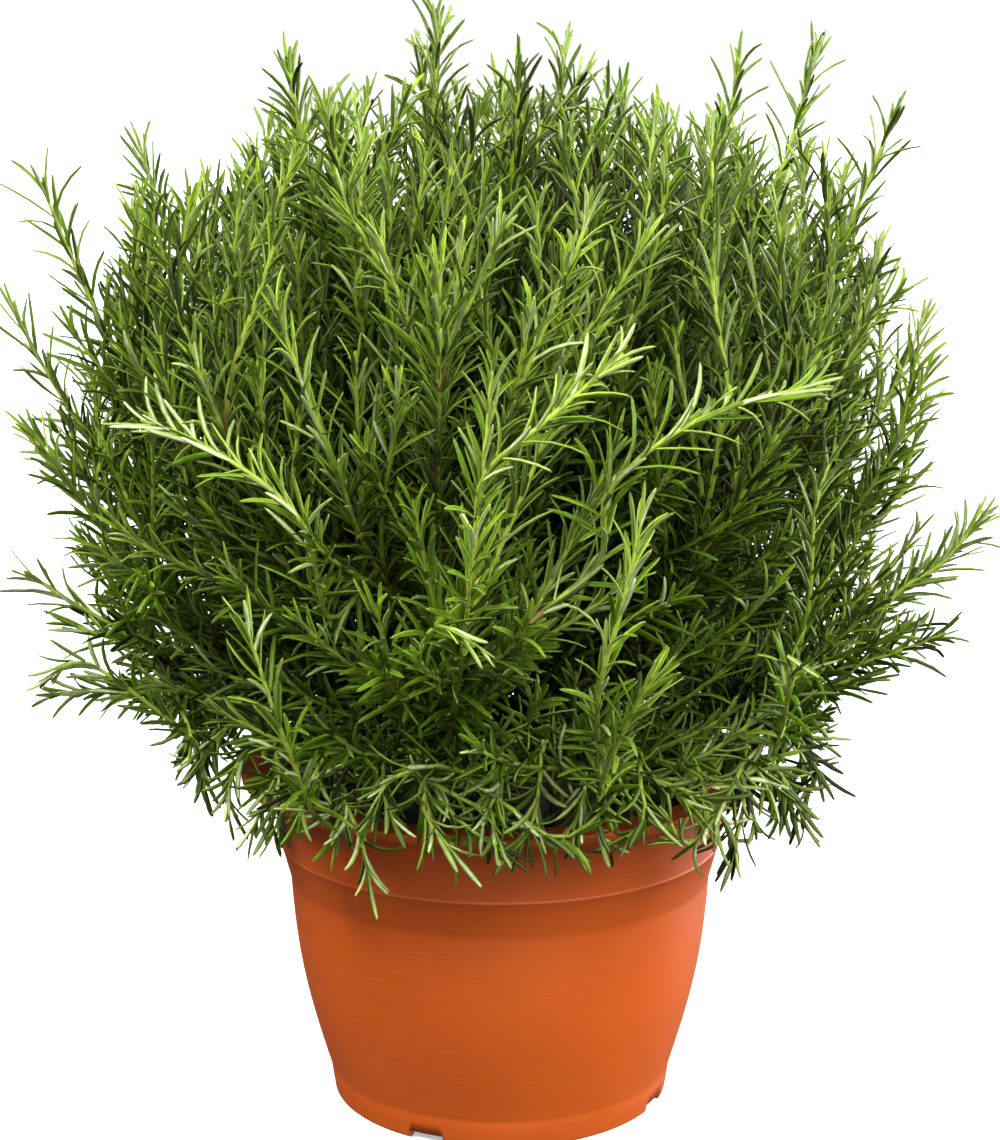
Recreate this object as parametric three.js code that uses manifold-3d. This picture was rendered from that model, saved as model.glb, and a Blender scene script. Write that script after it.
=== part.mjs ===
// A potted rosemary: a bush of leafy stems in a wide-rimmed plastic nursery pot.
// Millimetres, +Z up. The origin is the centre of the circle that the pot's foot stands on, and -Y is
// the front. Woody stems stand in holes in the soil and fork into arms. Each arm carries one green spray,
// whose tip lies on the crown's rounded outline, and needles are drawn out of the facets of collars along
// the green stems.
import * as THREE from "three";
import { mergeVertices } from "three/addons/utils/BufferGeometryUtils.js";
import Module from "manifold-3d";

const wasm = await Module();
wasm.setup();

const degrees = THREE.MathUtils.degToRad;
const mix = THREE.MathUtils.lerp;

// ---- Driving dimensions ----
const SEED = 20;
const CLEAR = 0.3; // between solids that rest on or against each other

// Pot
const RIM_R = 130;
const RIM_TOP = 170.5;
const RIM_EDGE = 4.5; // height of the brim's turned-down edge
const EDGE_EASE = 1; // how far sharp edges are cut back
const BAND_TOP_R = 114; // the collar under the brim
const BAND_LOW_R = 111;
const BAND_LOW_Z = 133;
const BAND_STEP = { inward: 1.2, down: 4.5 }; // from the collar's lower edge to the body
const BODY_TOP_R = 106.5;
const BODY_TOP_Z = 122;
const BODY_LOW_R = 87;
const BODY_LOW_Z = 14; // the top of the upright foot
const BODY_BULGE = 4.2; // how far the side bows out of its straight taper
const BODY_STEPS = 3;
const FOOT_R = 85;
const FOOT_EASE = { inward: 0.3, down: 3 }; // of the foot's rounded shoulder
const FOOT_WIDTH = 4;
const WALL = 2;
const FLOOR_Z = 5; // underside of the pot's raised floor
const POT_SIDES = 32;

const NOTCH_COUNT = 4;
const NOTCH_WIDTH = 18;
const NOTCH_HEIGHT = 4;
const NOTCH_TURN = degrees(-25); // of the first notch, from the front towards -X
const DRAIN_R = 5;
const DRAIN_RING_R = 58;
const DRAIN_SIDES = 8;

// Soil
const SOIL_TOP = 152;
const SOIL_MOUND = 4;
const SOIL_MOUND_R = 53; // where the mound has SOIL_MOUND_SHARE of its height
const SOIL_MOUND_SHARE = 0.7;

// Woody stems
const INNER_STEMS = 3;
const OUTER_STEMS = 7;
const INNER_STEM_RING_R = 26;
const OUTER_STEM_RING_R = 66;
const WOOD_R = 5.5; // at the soil
const WOOD_ARM_BASE_R = 4.2;
const WOOD_ARM_R = 2.8;
const WOOD_SIDES = 4;
const HOLE_SIDES = 8;
const ROOTED_DEPTH = 40;
const FORK_HEIGHT = 34; // above the soil
const WOOD_ARM_LENGTH = 36;

// Crown
const SPRAY_COUNT = 40;
const INNER_SPRAYS = 12;
const CROWN_R = 224;
const CROWN_Z = 330; // height of the crown's widest level
const CROWN_HALF_HEIGHT = 198;
const CROWN_SQUARENESS = 0.77; // 1 gives an ellipse, less gives squarer shoulders
const CROWN_TOP_CROWDING = 1.25; // above 1 gathers the tips towards the crown's top
const CROWN_REACH = degrees(132); // from straight up to the lowest sprays
const CROWN_RAGGED = 0.07; // share by which tips stand out of the outline or stop short of it

// Sprays that stand out of the crown's outline, and a few that hang over the brim, as tip positions.
const STANDING_OUT = [
  [-31, -10, 550],
  [-99, -30, 521],
  [-182, 40, 484],
  [-216, -40, 470],
  [-243, 20, 402],
  [-216, -60, 345],
  [-244, 0, 274],
  [-228, -40, 214],
  [-186, 50, 184],
  [31, 30, 533],
  [114, -20, 524],
  [158, 40, 531],
  [184, -40, 499],
  [216, 40, 396],
  [246, 10, 300],
  [222, -50, 252],
  [170, -10, 180],
  [-62, -158, 180],
  [48, -170, 190],
  [92, -150, 186],
  [0, 246, 330],
  [-10, -244, 340],
];

// How a spray's stem leans from straight up, as shares of the lean of the line from its fork to its tip.
// Upright sprays start outward and curve up, and low ones start upward and arch over.
const UPRIGHT = { start: 1.25, end: 0.6 };
const ARCHING = { start: 0.62, end: 1.2 };
const UPRIGHT_BELOW = degrees(50);
const ARCHING_ABOVE = degrees(85);

// Side shoots
const LATERALS = [
  { at: 0.22, side: 1 },
  { at: 0.45, side: -1 },
];
const LATERAL_SHARE = 0.62; // of the length that the main stem has left
const LATERAL_LONGEST = 125;
const LATERAL_SHORTEST = 45;
const LATERAL_SIDEWAYS = 0.36; // of its tip, as a share of its length
const LATERAL_OUTWARD = 0.1;
const LATERAL_SPREAD = 1.1; // tangent of the angle at which it leaves the main stem
const LATERAL_END_SPREAD = 0.15;

// Green stems and their needles
const STEM_SIDES = 3;
const STEM_BASE_R = 2.2;
const STEM_TIP_R = 1.2;
const LATERAL_BASE_R = 1.6;
const LONGEST_STEP = 40; // between the rings of a stem
const WHORL_SPACING = 38;
const FEWEST_WHORLS = 3;
const WHORL_CROWDING = 1.15; // above 1 gathers the whorls towards the tip
const COLLAR_HEIGHT = 3;
const COLLAR_TURN = Math.PI / 6; // between one collar's top and the next one's foot
const BARE_SHARE = 0.09; // of a green stem, below its first whorl
const TERMINAL_LENGTH = 9;

const NEEDLE_LONG = 28;
const NEEDLE_SHORT = 18; // beside the growing tip
const NEEDLE_OPEN = degrees(60); // from the stem, low down
const NEEDLE_CLOSED = degrees(32); // and beside the tip
const NEEDLE_VARIES = 0.16;
const NEEDLE_R = 1.2; // at the root, for clearance
const NEEDLE_GAP = 0.35;
const ABOVE_POT = 3; // least height of a stem or needle over the brim and the soil
// What is tried in turn for a needle without room: a change of its angle, and of its length.
const NEEDLE_CHOICES = [
  { opening: 0, shortening: 1 },
  { opening: 0.16, shortening: 1 },
  { opening: -0.16, shortening: 1 },
  { opening: 0.1, shortening: 0.8 },
  { opening: -0.1, shortening: 0.8 },
  { opening: 0, shortening: 0.6 },
];

// How fast needles shorten and close up towards a stem's tip, as powers of the share of the stem.
const NEEDLE_SHORTENING = 4;
const NEEDLE_CLOSING = 2;
const NEEDLE_FREE = 0.1; // share of a needle, from its root, that needs no room
const ROD_LENGTH = 8; // of the straight rods that stand for a stem
const ROD_CHECKS = [0, 0.25, 0.5, 0.75, 1];

const MERGE_WITHIN = 1e-4;
const GOLDEN_ANGLE = Math.PI * (3 - Math.sqrt(5));
const UP = new THREE.Vector3(0, 0, 1);

// ---- Helpers ----
// A repeatable draw from 0 to 1.
function draws(seed) {
  let state = seed | 0;
  return () => {
    state = (state + 0x6d2b79f5) | 0;
    let t = Math.imul(state ^ (state >>> 15), 1 | state);
    t = (t + Math.imul(t ^ (t >>> 7), 61 | t)) ^ t;
    return ((t ^ (t >>> 14)) >>> 0) / 4294967296;
  };
}

function upTo(count) {
  return Array.from({ length: count }, (_, i) => i);
}

function ringPoint(radius, turn, z) {
  return new THREE.Vector3(radius * Math.cos(turn), radius * Math.sin(turn), z);
}

function closedSolid(geometry) {
  const bare = geometry.clone();
  bare.deleteAttribute("normal");
  bare.deleteAttribute("uv");
  const merged = mergeVertices(bare, MERGE_WITHIN);
  return new wasm.Manifold(
    new wasm.Mesh({
      numProp: 3,
      vertProperties: merged.attributes.position.array,
      triVerts: new Uint32Array(merged.index.array),
    }),
  );
}

function geometryOf(solid) {
  const mesh = solid.getMesh();
  const geometry = new THREE.BufferGeometry();
  geometry.setAttribute("position", new THREE.BufferAttribute(mesh.vertProperties, 3));
  geometry.setIndex(new THREE.BufferAttribute(mesh.triVerts, 1));
  geometry.computeVertexNormals();
  return geometry;
}

function facets(points, triangles) {
  const geometry = new THREE.BufferGeometry();
  const coordinates = points.flatMap((point) => point.toArray());
  geometry.setAttribute("position", new THREE.Float32BufferAttribute(coordinates, 3));
  geometry.setIndex(triangles.flat());
  return geometry;
}

// A solid of revolution about +Z from [radius, height] pairs that run up the outside.
function turned(profile, sides) {
  const points = profile.map(([r, z]) => new THREE.Vector2(r, z));
  return new THREE.LatheGeometry(points, sides).rotateX(Math.PI / 2);
}

// A round pin along +Z, for cutting holes.
function pin(radius, at, bottom, top, sides) {
  const geometry = new THREE.CylinderGeometry(radius, radius, top - bottom, sides);
  geometry.rotateX(Math.PI / 2);
  return closedSolid(geometry.translate(at.x, at.y, (bottom + top) / 2));
}

function named(name, solid, material) {
  const mesh = new THREE.Mesh(geometryOf(solid), material);
  mesh.name = name;
  return mesh;
}

// ---- Pot ----
function bodyWall(inset) {
  return upTo(BODY_STEPS + 1).map((i) => {
    const t = i / BODY_STEPS;
    const bowed = mix(BODY_LOW_R, BODY_TOP_R, t) + BODY_BULGE * Math.sin(Math.PI * t);
    return [bowed - inset, mix(BODY_LOW_Z, BODY_TOP_Z, t)];
  });
}

function potProfile() {
  const floorTop = FLOOR_Z + WALL;
  const brimLow = RIM_TOP - RIM_EDGE;
  const inner = bodyWall(WALL);
  inner[0][1] = floorTop;
  return [
    [0, FLOOR_Z],
    [FOOT_R - FOOT_WIDTH - EDGE_EASE, FLOOR_Z],
    [FOOT_R - FOOT_WIDTH, 0],
    [FOOT_R, 0],
    [BODY_LOW_R - FOOT_EASE.inward, BODY_LOW_Z - FOOT_EASE.down],
    ...bodyWall(0),
    [BAND_LOW_R - BAND_STEP.inward, BAND_LOW_Z - BAND_STEP.down],
    [BAND_LOW_R, BAND_LOW_Z],
    [BAND_TOP_R, RIM_TOP - WALL],
    [RIM_R - WALL, RIM_TOP - WALL],
    [RIM_R - WALL, brimLow],
    [RIM_R, brimLow],
    [RIM_R, RIM_TOP - EDGE_EASE],
    [RIM_R - EDGE_EASE, RIM_TOP],
    [BAND_TOP_R - EDGE_EASE, RIM_TOP],
    [BAND_TOP_R - WALL, RIM_TOP - WALL],
    [BAND_LOW_R - WALL, BAND_LOW_Z + EDGE_EASE],
    ...inner.toReversed(),
    [0, floorTop],
  ];
}

function makePot() {
  const aboveFloor = FLOOR_Z + 2 * WALL;
  let pot = closedSolid(turned(potProfile(), POT_SIDES));
  for (const i of upTo(NOTCH_COUNT)) {
    const turn = -Math.PI / 2 + NOTCH_TURN + (i * 2 * Math.PI) / NOTCH_COUNT;
    const notch = new THREE.BoxGeometry(4 * FOOT_WIDTH, NOTCH_WIDTH, 2 * NOTCH_HEIGHT);
    notch.translate(FOOT_R, 0, 0).rotateZ(turn);
    pot = pot.subtract(closedSolid(notch));
    pot = pot.subtract(pin(DRAIN_R, ringPoint(DRAIN_RING_R, turn, 0), 0, aboveFloor, DRAIN_SIDES));
  }
  return pot.subtract(pin(DRAIN_R, new THREE.Vector3(), 0, aboveFloor, DRAIN_SIDES));
}

// ---- Soil ----
function makeSoil(roots) {
  const inset = WALL + CLEAR;
  const wall = bodyWall(inset);
  wall[0][1] = FLOOR_Z + inset;
  const profile = [
    [0, FLOOR_Z + inset],
    ...wall,
    [BAND_LOW_R - inset, BAND_LOW_Z + EDGE_EASE],
    [BAND_LOW_R - inset, SOIL_TOP],
    [SOIL_MOUND_R, SOIL_TOP + SOIL_MOUND_SHARE * SOIL_MOUND],
    [0, SOIL_TOP + SOIL_MOUND],
  ];
  const soil = closedSolid(turned(profile, POT_SIDES));
  const holeR = (WOOD_R + CLEAR) / Math.cos(Math.PI / HOLE_SIDES);
  const holeBottom = SOIL_TOP - ROOTED_DEPTH - CLEAR;
  const holes = roots.map((root) => pin(holeR, root, holeBottom, RIM_TOP, HOLE_SIDES));
  return holes.reduce((solid, hole) => solid.subtract(hole), soil);
}

// ---- Stem paths ----
function crownTip(index, draw) {
  const share = ((index + 0.5) / SPRAY_COUNT) ** CROWN_TOP_CROWDING;
  const angle = Math.acos(1 - share * (1 - Math.cos(CROWN_REACH)));
  const stretch = 1 + CROWN_RAGGED * (2 * draw() - 1);
  const level = Math.cos(angle);
  const r = CROWN_R * stretch * Math.sin(angle) ** CROWN_SQUARENESS;
  const rise = CROWN_HALF_HEIGHT * stretch * Math.abs(level) ** CROWN_SQUARENESS;
  return ringPoint(r, index * GOLDEN_ANGLE, CROWN_Z + Math.sign(level) * rise);
}

// The regular tips, with the nearest one to each of STANDING_OUT moved there.
function crownTips() {
  const draw = draws(SEED);
  const tips = upTo(SPRAY_COUNT).map((i) => crownTip(i, draw));
  const free = new Set(tips.keys());
  for (const place of STANDING_OUT) {
    const goal = new THREE.Vector3(...place);
    const away = (i) => tips[i].distanceTo(goal);
    const nearest = [...free].reduce((a, b) => (away(a) <= away(b) ? a : b));
    tips[nearest] = goal;
    free.delete(nearest);
  }
  return tips;
}

function leaning(outward, lean) {
  return outward.clone().multiplyScalar(Math.sin(lean)).addScaledVector(UP, Math.cos(lean));
}

function stemRoots() {
  const ring = (count, radius, turn) =>
    upTo(count).map((i) => ringPoint(radius, turn + (i * 2 * Math.PI) / count, 0));
  return [
    ...ring(INNER_STEMS, INNER_STEM_RING_R, Math.PI / 6),
    ...ring(OUTER_STEMS, OUTER_STEM_RING_R, Math.PI / 2),
  ];
}

function bend(start, startWay, end, endWay) {
  const third = start.distanceTo(end) / 3;
  return new THREE.CubicBezierCurve3(
    start,
    start.clone().addScaledVector(startWay, third),
    end.clone().addScaledVector(endWay, -third),
    end,
  );
}

// For each tip, the woody stem that carries it and the path of its main stem from the fork.
function planSprays(roots) {
  const tips = crownTips();
  const flatten = (point) => point.clone().setZ(0);
  const angle = (tip) => Math.atan2(flatten(tip).length(), tip.z - CROWN_Z);
  tips.sort((a, b) => angle(a) - angle(b));
  return tips.map((tip, rank) => {
    const carriers = rank < INNER_SPRAYS ? roots.slice(0, INNER_STEMS) : roots.slice(INNER_STEMS);
    const away = (root) => root.distanceTo(flatten(tip));
    const root = carriers.reduce((a, b) => (away(a) <= away(b) ? a : b));
    const fork = root.clone().setZ(SOIL_TOP + FORK_HEIGHT);
    const outward = flatten(tip).sub(root).normalize();
    const lean = Math.atan2(away(root), tip.z - fork.z);
    const arching = THREE.MathUtils.smoothstep(lean, UPRIGHT_BELOW, ARCHING_ABOVE);
    const startWay = leaning(outward, lean * mix(UPRIGHT.start, ARCHING.start, arching));
    const endWay = leaning(outward, lean * mix(UPRIGHT.end, ARCHING.end, arching));
    return { wood: roots.indexOf(root), path: bend(fork, startWay, tip, endWay), outward };
  });
}

// Side shoots leave the main stem to its left and right and bend up beside it.
function lateralPath(plan, lateral) {
  const length = plan.path.getLength();
  const from = mix(WOOD_ARM_LENGTH / length, 1, lateral.at);
  const start = plan.path.getPointAt(from);
  const way = plan.path.getTangentAt(from);
  const sideways = new THREE.Vector3().crossVectors(plan.outward, UP).multiplyScalar(lateral.side);
  const reach = Math.min(LATERAL_SHARE * length * (1 - from), LATERAL_LONGEST);
  const end = start
    .clone()
    .addScaledVector(way, reach * (1 - LATERAL_OUTWARD))
    .addScaledVector(sideways, reach * LATERAL_SIDEWAYS)
    .addScaledVector(plan.outward, reach * LATERAL_OUTWARD);
  const startWay = way.clone().addScaledVector(sideways, LATERAL_SPREAD).normalize();
  const endWay = way.clone().addScaledVector(sideways, LATERAL_END_SPREAD).normalize();
  return bend(start, startWay, end, endWay);
}

// ---- Clear space ----
// Remembers straight rods, and says whether a new one keeps its distance from all of them but its kin.
class ClearSpace {
  constructor(cell) {
    this.cell = cell;
    this.rods = new Map();
  }

  cellOf(point) {
    return point.clone().divideScalar(this.cell).floor();
  }

  add(rod) {
    const key = this.cellOf(rod.a.clone().lerp(rod.b, 0.5)).toArray().join();
    this.rods.set(key, [...(this.rods.get(key) ?? []), rod]);
  }

  *near(rod) {
    const low = this.cellOf(rod.a.clone().min(rod.b));
    const high = this.cellOf(rod.a.clone().max(rod.b));
    for (let x = low.x - 1; x <= high.x + 1; x++) {
      for (let y = low.y - 1; y <= high.y + 1; y++) {
        for (let z = low.z - 1; z <= high.z + 1; z++) {
          yield* this.rods.get([x, y, z].join()) ?? [];
        }
      }
    }
  }

  isClear(rod, isKin) {
    const room = (other) => rodDistance(rod, other) - rod.radius - other.radius;
    return [...this.near(rod)].every((other) => isKin(other) || room(other) >= NEEDLE_GAP);
  }
}

// The least distance between the centre lines of two rods.
function rodDistance(one, other) {
  const u = one.b.clone().sub(one.a);
  const v = other.b.clone().sub(other.a);
  const w = one.a.clone().sub(other.a);
  const uv = u.dot(v);
  const det = u.lengthSq() * v.lengthSq() - uv * uv;
  const clamp = (value) => THREE.MathUtils.clamp(value, 0, 1);
  const apart = det > 1e-9 ? clamp((uv * v.dot(w) - v.lengthSq() * u.dot(w)) / det) : 0;
  const t = clamp((uv * apart + v.dot(w)) / v.lengthSq());
  const s = clamp((uv * t - u.dot(w)) / u.lengthSq());
  return one.a.clone().addScaledVector(u, s).distanceTo(other.a.clone().addScaledVector(v, t));
}

function isClearOfPot(point) {
  const r = Math.hypot(point.x, point.y);
  if (r > RIM_R + ABOVE_POT) return true;
  return point.z > ABOVE_POT + (r < BAND_LOW_R - WALL - ABOVE_POT ? SOIL_TOP + SOIL_MOUND : RIM_TOP);
}

function isRodClearOfPot({ a, b }) {
  return ROD_CHECKS.every((along) => isClearOfPot(a.clone().lerp(b, along)));
}

// The rods that a stem takes up.
function stemRods({ path, spray, name }) {
  const points = path.getSpacedPoints(Math.ceil(path.getLength() / ROD_LENGTH));
  return points.slice(1).map((b, i) => ({ a: points[i], b, radius: STEM_BASE_R, spray, stem: name }));
}

// ---- Tubes ----
// Directions across a path that turn smoothly along it.
function frameAt(path, share) {
  const point = path.getPointAt(share);
  const way = path.getTangentAt(share);
  const chord = path.getPoint(1).sub(path.getPoint(0)).toArray().map(Math.abs);
  const across = new THREE.Vector3().setComponent(chord.indexOf(Math.min(...chord)), 1);
  const side = new THREE.Vector3().crossVectors(across, way).normalize();
  return { point, way, side, front: new THREE.Vector3().crossVectors(way, side) };
}

function ringAt({ point, side, front }, radius, turn, sides) {
  return upTo(sides).map((i) => {
    const angle = turn + (i * 2 * Math.PI) / sides;
    return point
      .clone()
      .addScaledVector(side, radius * Math.cos(angle))
      .addScaledVector(front, radius * Math.sin(angle));
  });
}

// The triangles between two rings, given where they start in the list of points.
function band(lower, upper, sides) {
  return upTo(sides).flatMap((i) => {
    const next = (i + 1) % sides;
    return [
      [lower + i, lower + next, upper + i],
      [lower + next, upper + next, upper + i],
    ];
  });
}

// A straight tapered bar between two shares of a path.
function bar(path, from, to, fromRadius, toRadius, sides) {
  const points = [
    ...ringAt(frameAt(path, from), fromRadius, 0, sides),
    ...ringAt(frameAt(path, to), toRadius, 0, sides),
  ];
  const ends = upTo(sides - 2).flatMap((i) => [
    [0, i + 2, i + 1],
    [sides, sides + i + 1, sides + i + 2],
  ]);
  return closedSolid(facets(points, [...band(0, sides, sides), ...ends]));
}

// ---- Woody stems ----
function makeWood(root, plans) {
  const foot = root.clone().setZ(SOIL_TOP - ROOTED_DEPTH);
  const fork = root.clone().setZ(SOIL_TOP + FORK_HEIGHT + CLEAR);
  const trunk = new THREE.LineCurve3(foot, fork);
  let wood = bar(trunk, 0, 1, WOOD_R, WOOD_R - 1, WOOD_SIDES);
  for (const { path } of plans) {
    const end = WOOD_ARM_LENGTH / path.getLength();
    wood = wood.add(bar(path, 0, end, WOOD_ARM_BASE_R, WOOD_ARM_R, WOOD_SIDES));
  }
  return wood;
}

// ---- Leafy stems ----
// Where a green stem's collars end, as shares of its path.
function whorlShares(from, length) {
  const first = mix(from, 1, BARE_SHARE);
  const last = 1 - TERMINAL_LENGTH / length;
  const count = Math.max(FEWEST_WHORLS, 1 + Math.round(((last - first) * length) / WHORL_SPACING));
  return upTo(count).map((i) => mix(first, last, 1 - (1 - i / (count - 1)) ** WHORL_CROWDING));
}

// A slim green stem, with each facet of its collars drawn out into a needle where there is room.
function leafyStem(stem, space, draw) {
  const { path, from, radius } = stem;
  const length = path.getLength();
  const points = [];
  const triangles = [[0, 2, 1]];
  let turn = 0;
  const addRing = (share) => {
    points.push(...ringAt(frameAt(path, share), mix(radius, STEM_TIP_R, share), turn, STEM_SIDES));
    return { share, start: points.length - STEM_SIDES };
  };
  let last = addRing(from);
  whorlShares(from, length).forEach((top, whorl) => {
    const foot = top - COLLAR_HEIGHT / length;
    const steps = Math.max(1, Math.round(((foot - last.share) * length) / LONGEST_STEP));
    const below = last.share;
    for (const i of upTo(steps)) {
      turn += COLLAR_TURN / steps;
      const ring = addRing(mix(below, foot, (i + 1) / steps));
      triangles.push(...band(last.start, ring.start, STEM_SIDES));
      last = ring;
    }
    turn += Math.PI / STEM_SIDES;
    const ring = addRing(top);
    const frame = frameAt(path, mix(foot, top, 0.5));
    for (const [a, b, c] of band(last.start, ring.start, STEM_SIDES)) {
      const needle = { stem: stem.name, whorl: `${stem.name}:${whorl}`, share: top, frame };
      const tip = needleTip([points[a], points[b], points[c]], needle, space, draw);
      if (tip) {
        const at = points.push(tip) - 1;
        triangles.push([a, b, at], [b, c, at], [c, a, at]);
      } else {
        triangles.push([a, b, c]);
      }
    }
    last = ring;
  });
  const end = points.push(path.getPointAt(1)) - 1;
  for (const i of upTo(STEM_SIDES)) {
    triangles.push([last.start + i, last.start + ((i + 1) % STEM_SIDES), end]);
  }
  return closedSolid(facets(points, triangles));
}

// The tip of a needle drawn out of a collar's facet, or null where it has no room.
function needleTip(corners, { stem, whorl, share, frame }, space, draw) {
  const root = corners[0].clone().add(corners[1]).add(corners[2]).divideScalar(3);
  const outward = root.clone().sub(frame.point);
  outward.addScaledVector(frame.way, -outward.dot(frame.way)).normalize();
  const vary = () => 1 + NEEDLE_VARIES * (2 * draw() - 1);
  const length = mix(NEEDLE_LONG, NEEDLE_SHORT, share ** NEEDLE_SHORTENING) * vary();
  const angle = mix(NEEDLE_OPEN, NEEDLE_CLOSED, share ** NEEDLE_CLOSING) * vary();
  const isKin = (other) => (other.whorl ? other.whorl === whorl : other.stem === stem);
  for (const { opening, shortening } of NEEDLE_CHOICES) {
    const way = outward
      .clone()
      .multiplyScalar(Math.sin(angle + opening))
      .addScaledVector(frame.way, Math.cos(angle + opening));
    const at = (along) => root.clone().addScaledVector(way, along * length * shortening);
    const halves = [
      { a: at(NEEDLE_FREE), b: at(0.5), radius: NEEDLE_R, stem, whorl },
      { a: at(0.5), b: at(1), radius: NEEDLE_R / 2, stem, whorl },
    ];
    if (halves.every((rod) => isRodClearOfPot(rod) && space.isClear(rod, isKin))) {
      halves.forEach((rod) => space.add(rod));
      return at(1);
    }
  }
  return null;
}

// The main stems take their space first, then each side shoot that has room.
function planStems(plans, space) {
  const mains = plans.map(({ path }, spray) => {
    const from = (WOOD_ARM_LENGTH + CLEAR) / path.getLength();
    return { spray, name: `${spray}`, path, from, radius: STEM_BASE_R };
  });
  mains.flatMap(stemRods).forEach((rod) => space.add(rod));
  const laterals = plans.flatMap((plan, spray) =>
    LATERALS.map((lateral, j) => {
      const path = lateralPath(plan, lateral);
      return { spray, name: `${spray}/${j}`, path, from: 0, radius: LATERAL_BASE_R };
    }),
  );
  const grown = laterals.filter((lateral) => {
    const rods = stemRods(lateral);
    const isKin = (other) => other.spray === lateral.spray;
    const hasRoom =
      lateral.path.getLength() >= LATERAL_SHORTEST &&
      rods.every((rod) => isRodClearOfPot(rod) && space.isClear(rod, isKin));
    if (hasRoom) {
      rods.forEach((rod) => space.add(rod));
    }
    return hasRoom;
  });
  return [...mains, ...grown];
}

function makeSprays(plans) {
  const space = new ClearSpace(NEEDLE_LONG);
  const draw = draws(SEED + 1);
  const sprays = [];
  for (const stem of planStems(plans, space)) {
    const grown = leafyStem(stem, space, draw);
    sprays[stem.spray] = sprays[stem.spray]?.add(grown) ?? grown;
  }
  return sprays;
}

// ---- Materials and assembly ----
const terracotta = new THREE.MeshStandardMaterial({ color: 0xc4561c, roughness: 0.5, metalness: 0 });
const pottingMix = new THREE.MeshStandardMaterial({ color: 0x2e2018, roughness: 0.95, metalness: 0 });
const bark = new THREE.MeshStandardMaterial({ color: 0x6f5238, roughness: 0.9, metalness: 0 });
const greenLeaf = new THREE.MeshStandardMaterial({ color: 0x5d8a35, roughness: 0.55, metalness: 0 });

const roots = stemRoots();
const plans = planSprays(roots);
const numbered = (name, i) => `${name}_${String(i + 1).padStart(2, "0")}`;

const pottedRosemary = new THREE.Group();
pottedRosemary.add(named("pot", makePot(), terracotta));
pottedRosemary.add(named("soil", makeSoil(roots), pottingMix));
roots.forEach((root, i) => {
  const carried = plans.filter((plan) => plan.wood === i);
  pottedRosemary.add(named(numbered("woody_stem", i), makeWood(root, carried), bark));
});
makeSprays(plans).forEach((spray, i) => {
  pottedRosemary.add(named(numbered("leafy_spray", i), spray, greenLeaf));
});

export default pottedRosemary;
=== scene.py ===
"""The looks of the potted rosemary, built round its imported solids.

Metres, +Z up, with the viewer on the -Y side. The stems follow the same seeded rule as the solids: each
spray's main stem runs from a fork of its woody stem to a tip on the crown's outline. Finer needles, more
side shoots, bark, soil crumbs and the pot's mould marks are added here.
"""

import math

import bpy
import numpy as np
from mathutils import Matrix, Vector


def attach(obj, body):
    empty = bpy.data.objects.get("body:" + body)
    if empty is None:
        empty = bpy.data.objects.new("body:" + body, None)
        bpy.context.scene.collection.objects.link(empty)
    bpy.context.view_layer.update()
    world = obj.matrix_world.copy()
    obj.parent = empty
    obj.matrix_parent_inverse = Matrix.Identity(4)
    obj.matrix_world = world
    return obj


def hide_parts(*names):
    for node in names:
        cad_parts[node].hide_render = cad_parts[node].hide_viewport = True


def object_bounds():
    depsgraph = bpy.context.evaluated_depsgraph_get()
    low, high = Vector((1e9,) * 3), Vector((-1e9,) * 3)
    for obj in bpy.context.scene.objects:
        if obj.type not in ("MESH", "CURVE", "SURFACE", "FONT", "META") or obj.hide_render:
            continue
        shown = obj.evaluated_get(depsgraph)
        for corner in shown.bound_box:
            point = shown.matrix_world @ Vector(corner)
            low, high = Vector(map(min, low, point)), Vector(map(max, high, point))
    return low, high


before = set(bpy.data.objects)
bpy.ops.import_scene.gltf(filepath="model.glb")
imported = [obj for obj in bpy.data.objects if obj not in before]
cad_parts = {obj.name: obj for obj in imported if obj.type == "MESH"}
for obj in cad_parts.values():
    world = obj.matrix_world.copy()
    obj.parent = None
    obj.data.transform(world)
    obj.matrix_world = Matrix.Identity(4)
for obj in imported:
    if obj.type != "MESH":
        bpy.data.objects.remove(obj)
CAD_LOW, CAD_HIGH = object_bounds()

MM = 0.001
UP = np.array([0.0, 0.0, 1.0])
WHITE = (1, 1, 1, 1)

# ---- Stage ----
CAMERA_PLACE = (0, -1.168, 0.506)
CAMERA_PITCH = math.radians(11.5)
CAMERA_LENS = 75.8  # mm
CAMERA_SENSOR = 36  # mm
CAMERA_NEAREST = 0.01
FLOOR_SIZE = 60
BACKDROP_R = 28
WORLD_LIGHT = 0.1
SUNS = [  # name, where it shines from, strength, and how wide it is in degrees
    ("key", (1.7, -1.2, 1.6), 4.5, 30),
    ("left", (-1.8, -0.8, 2.2), 4.8, 25),
    ("front", (0.2, -2.0, 1.0), 2.1, 60),
    ("right", (1.75, 1.2, 0.35), 4.1, 50),
    ("back", (-0.8, 1.8, 1.6), 2.2, 30),
]

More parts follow.
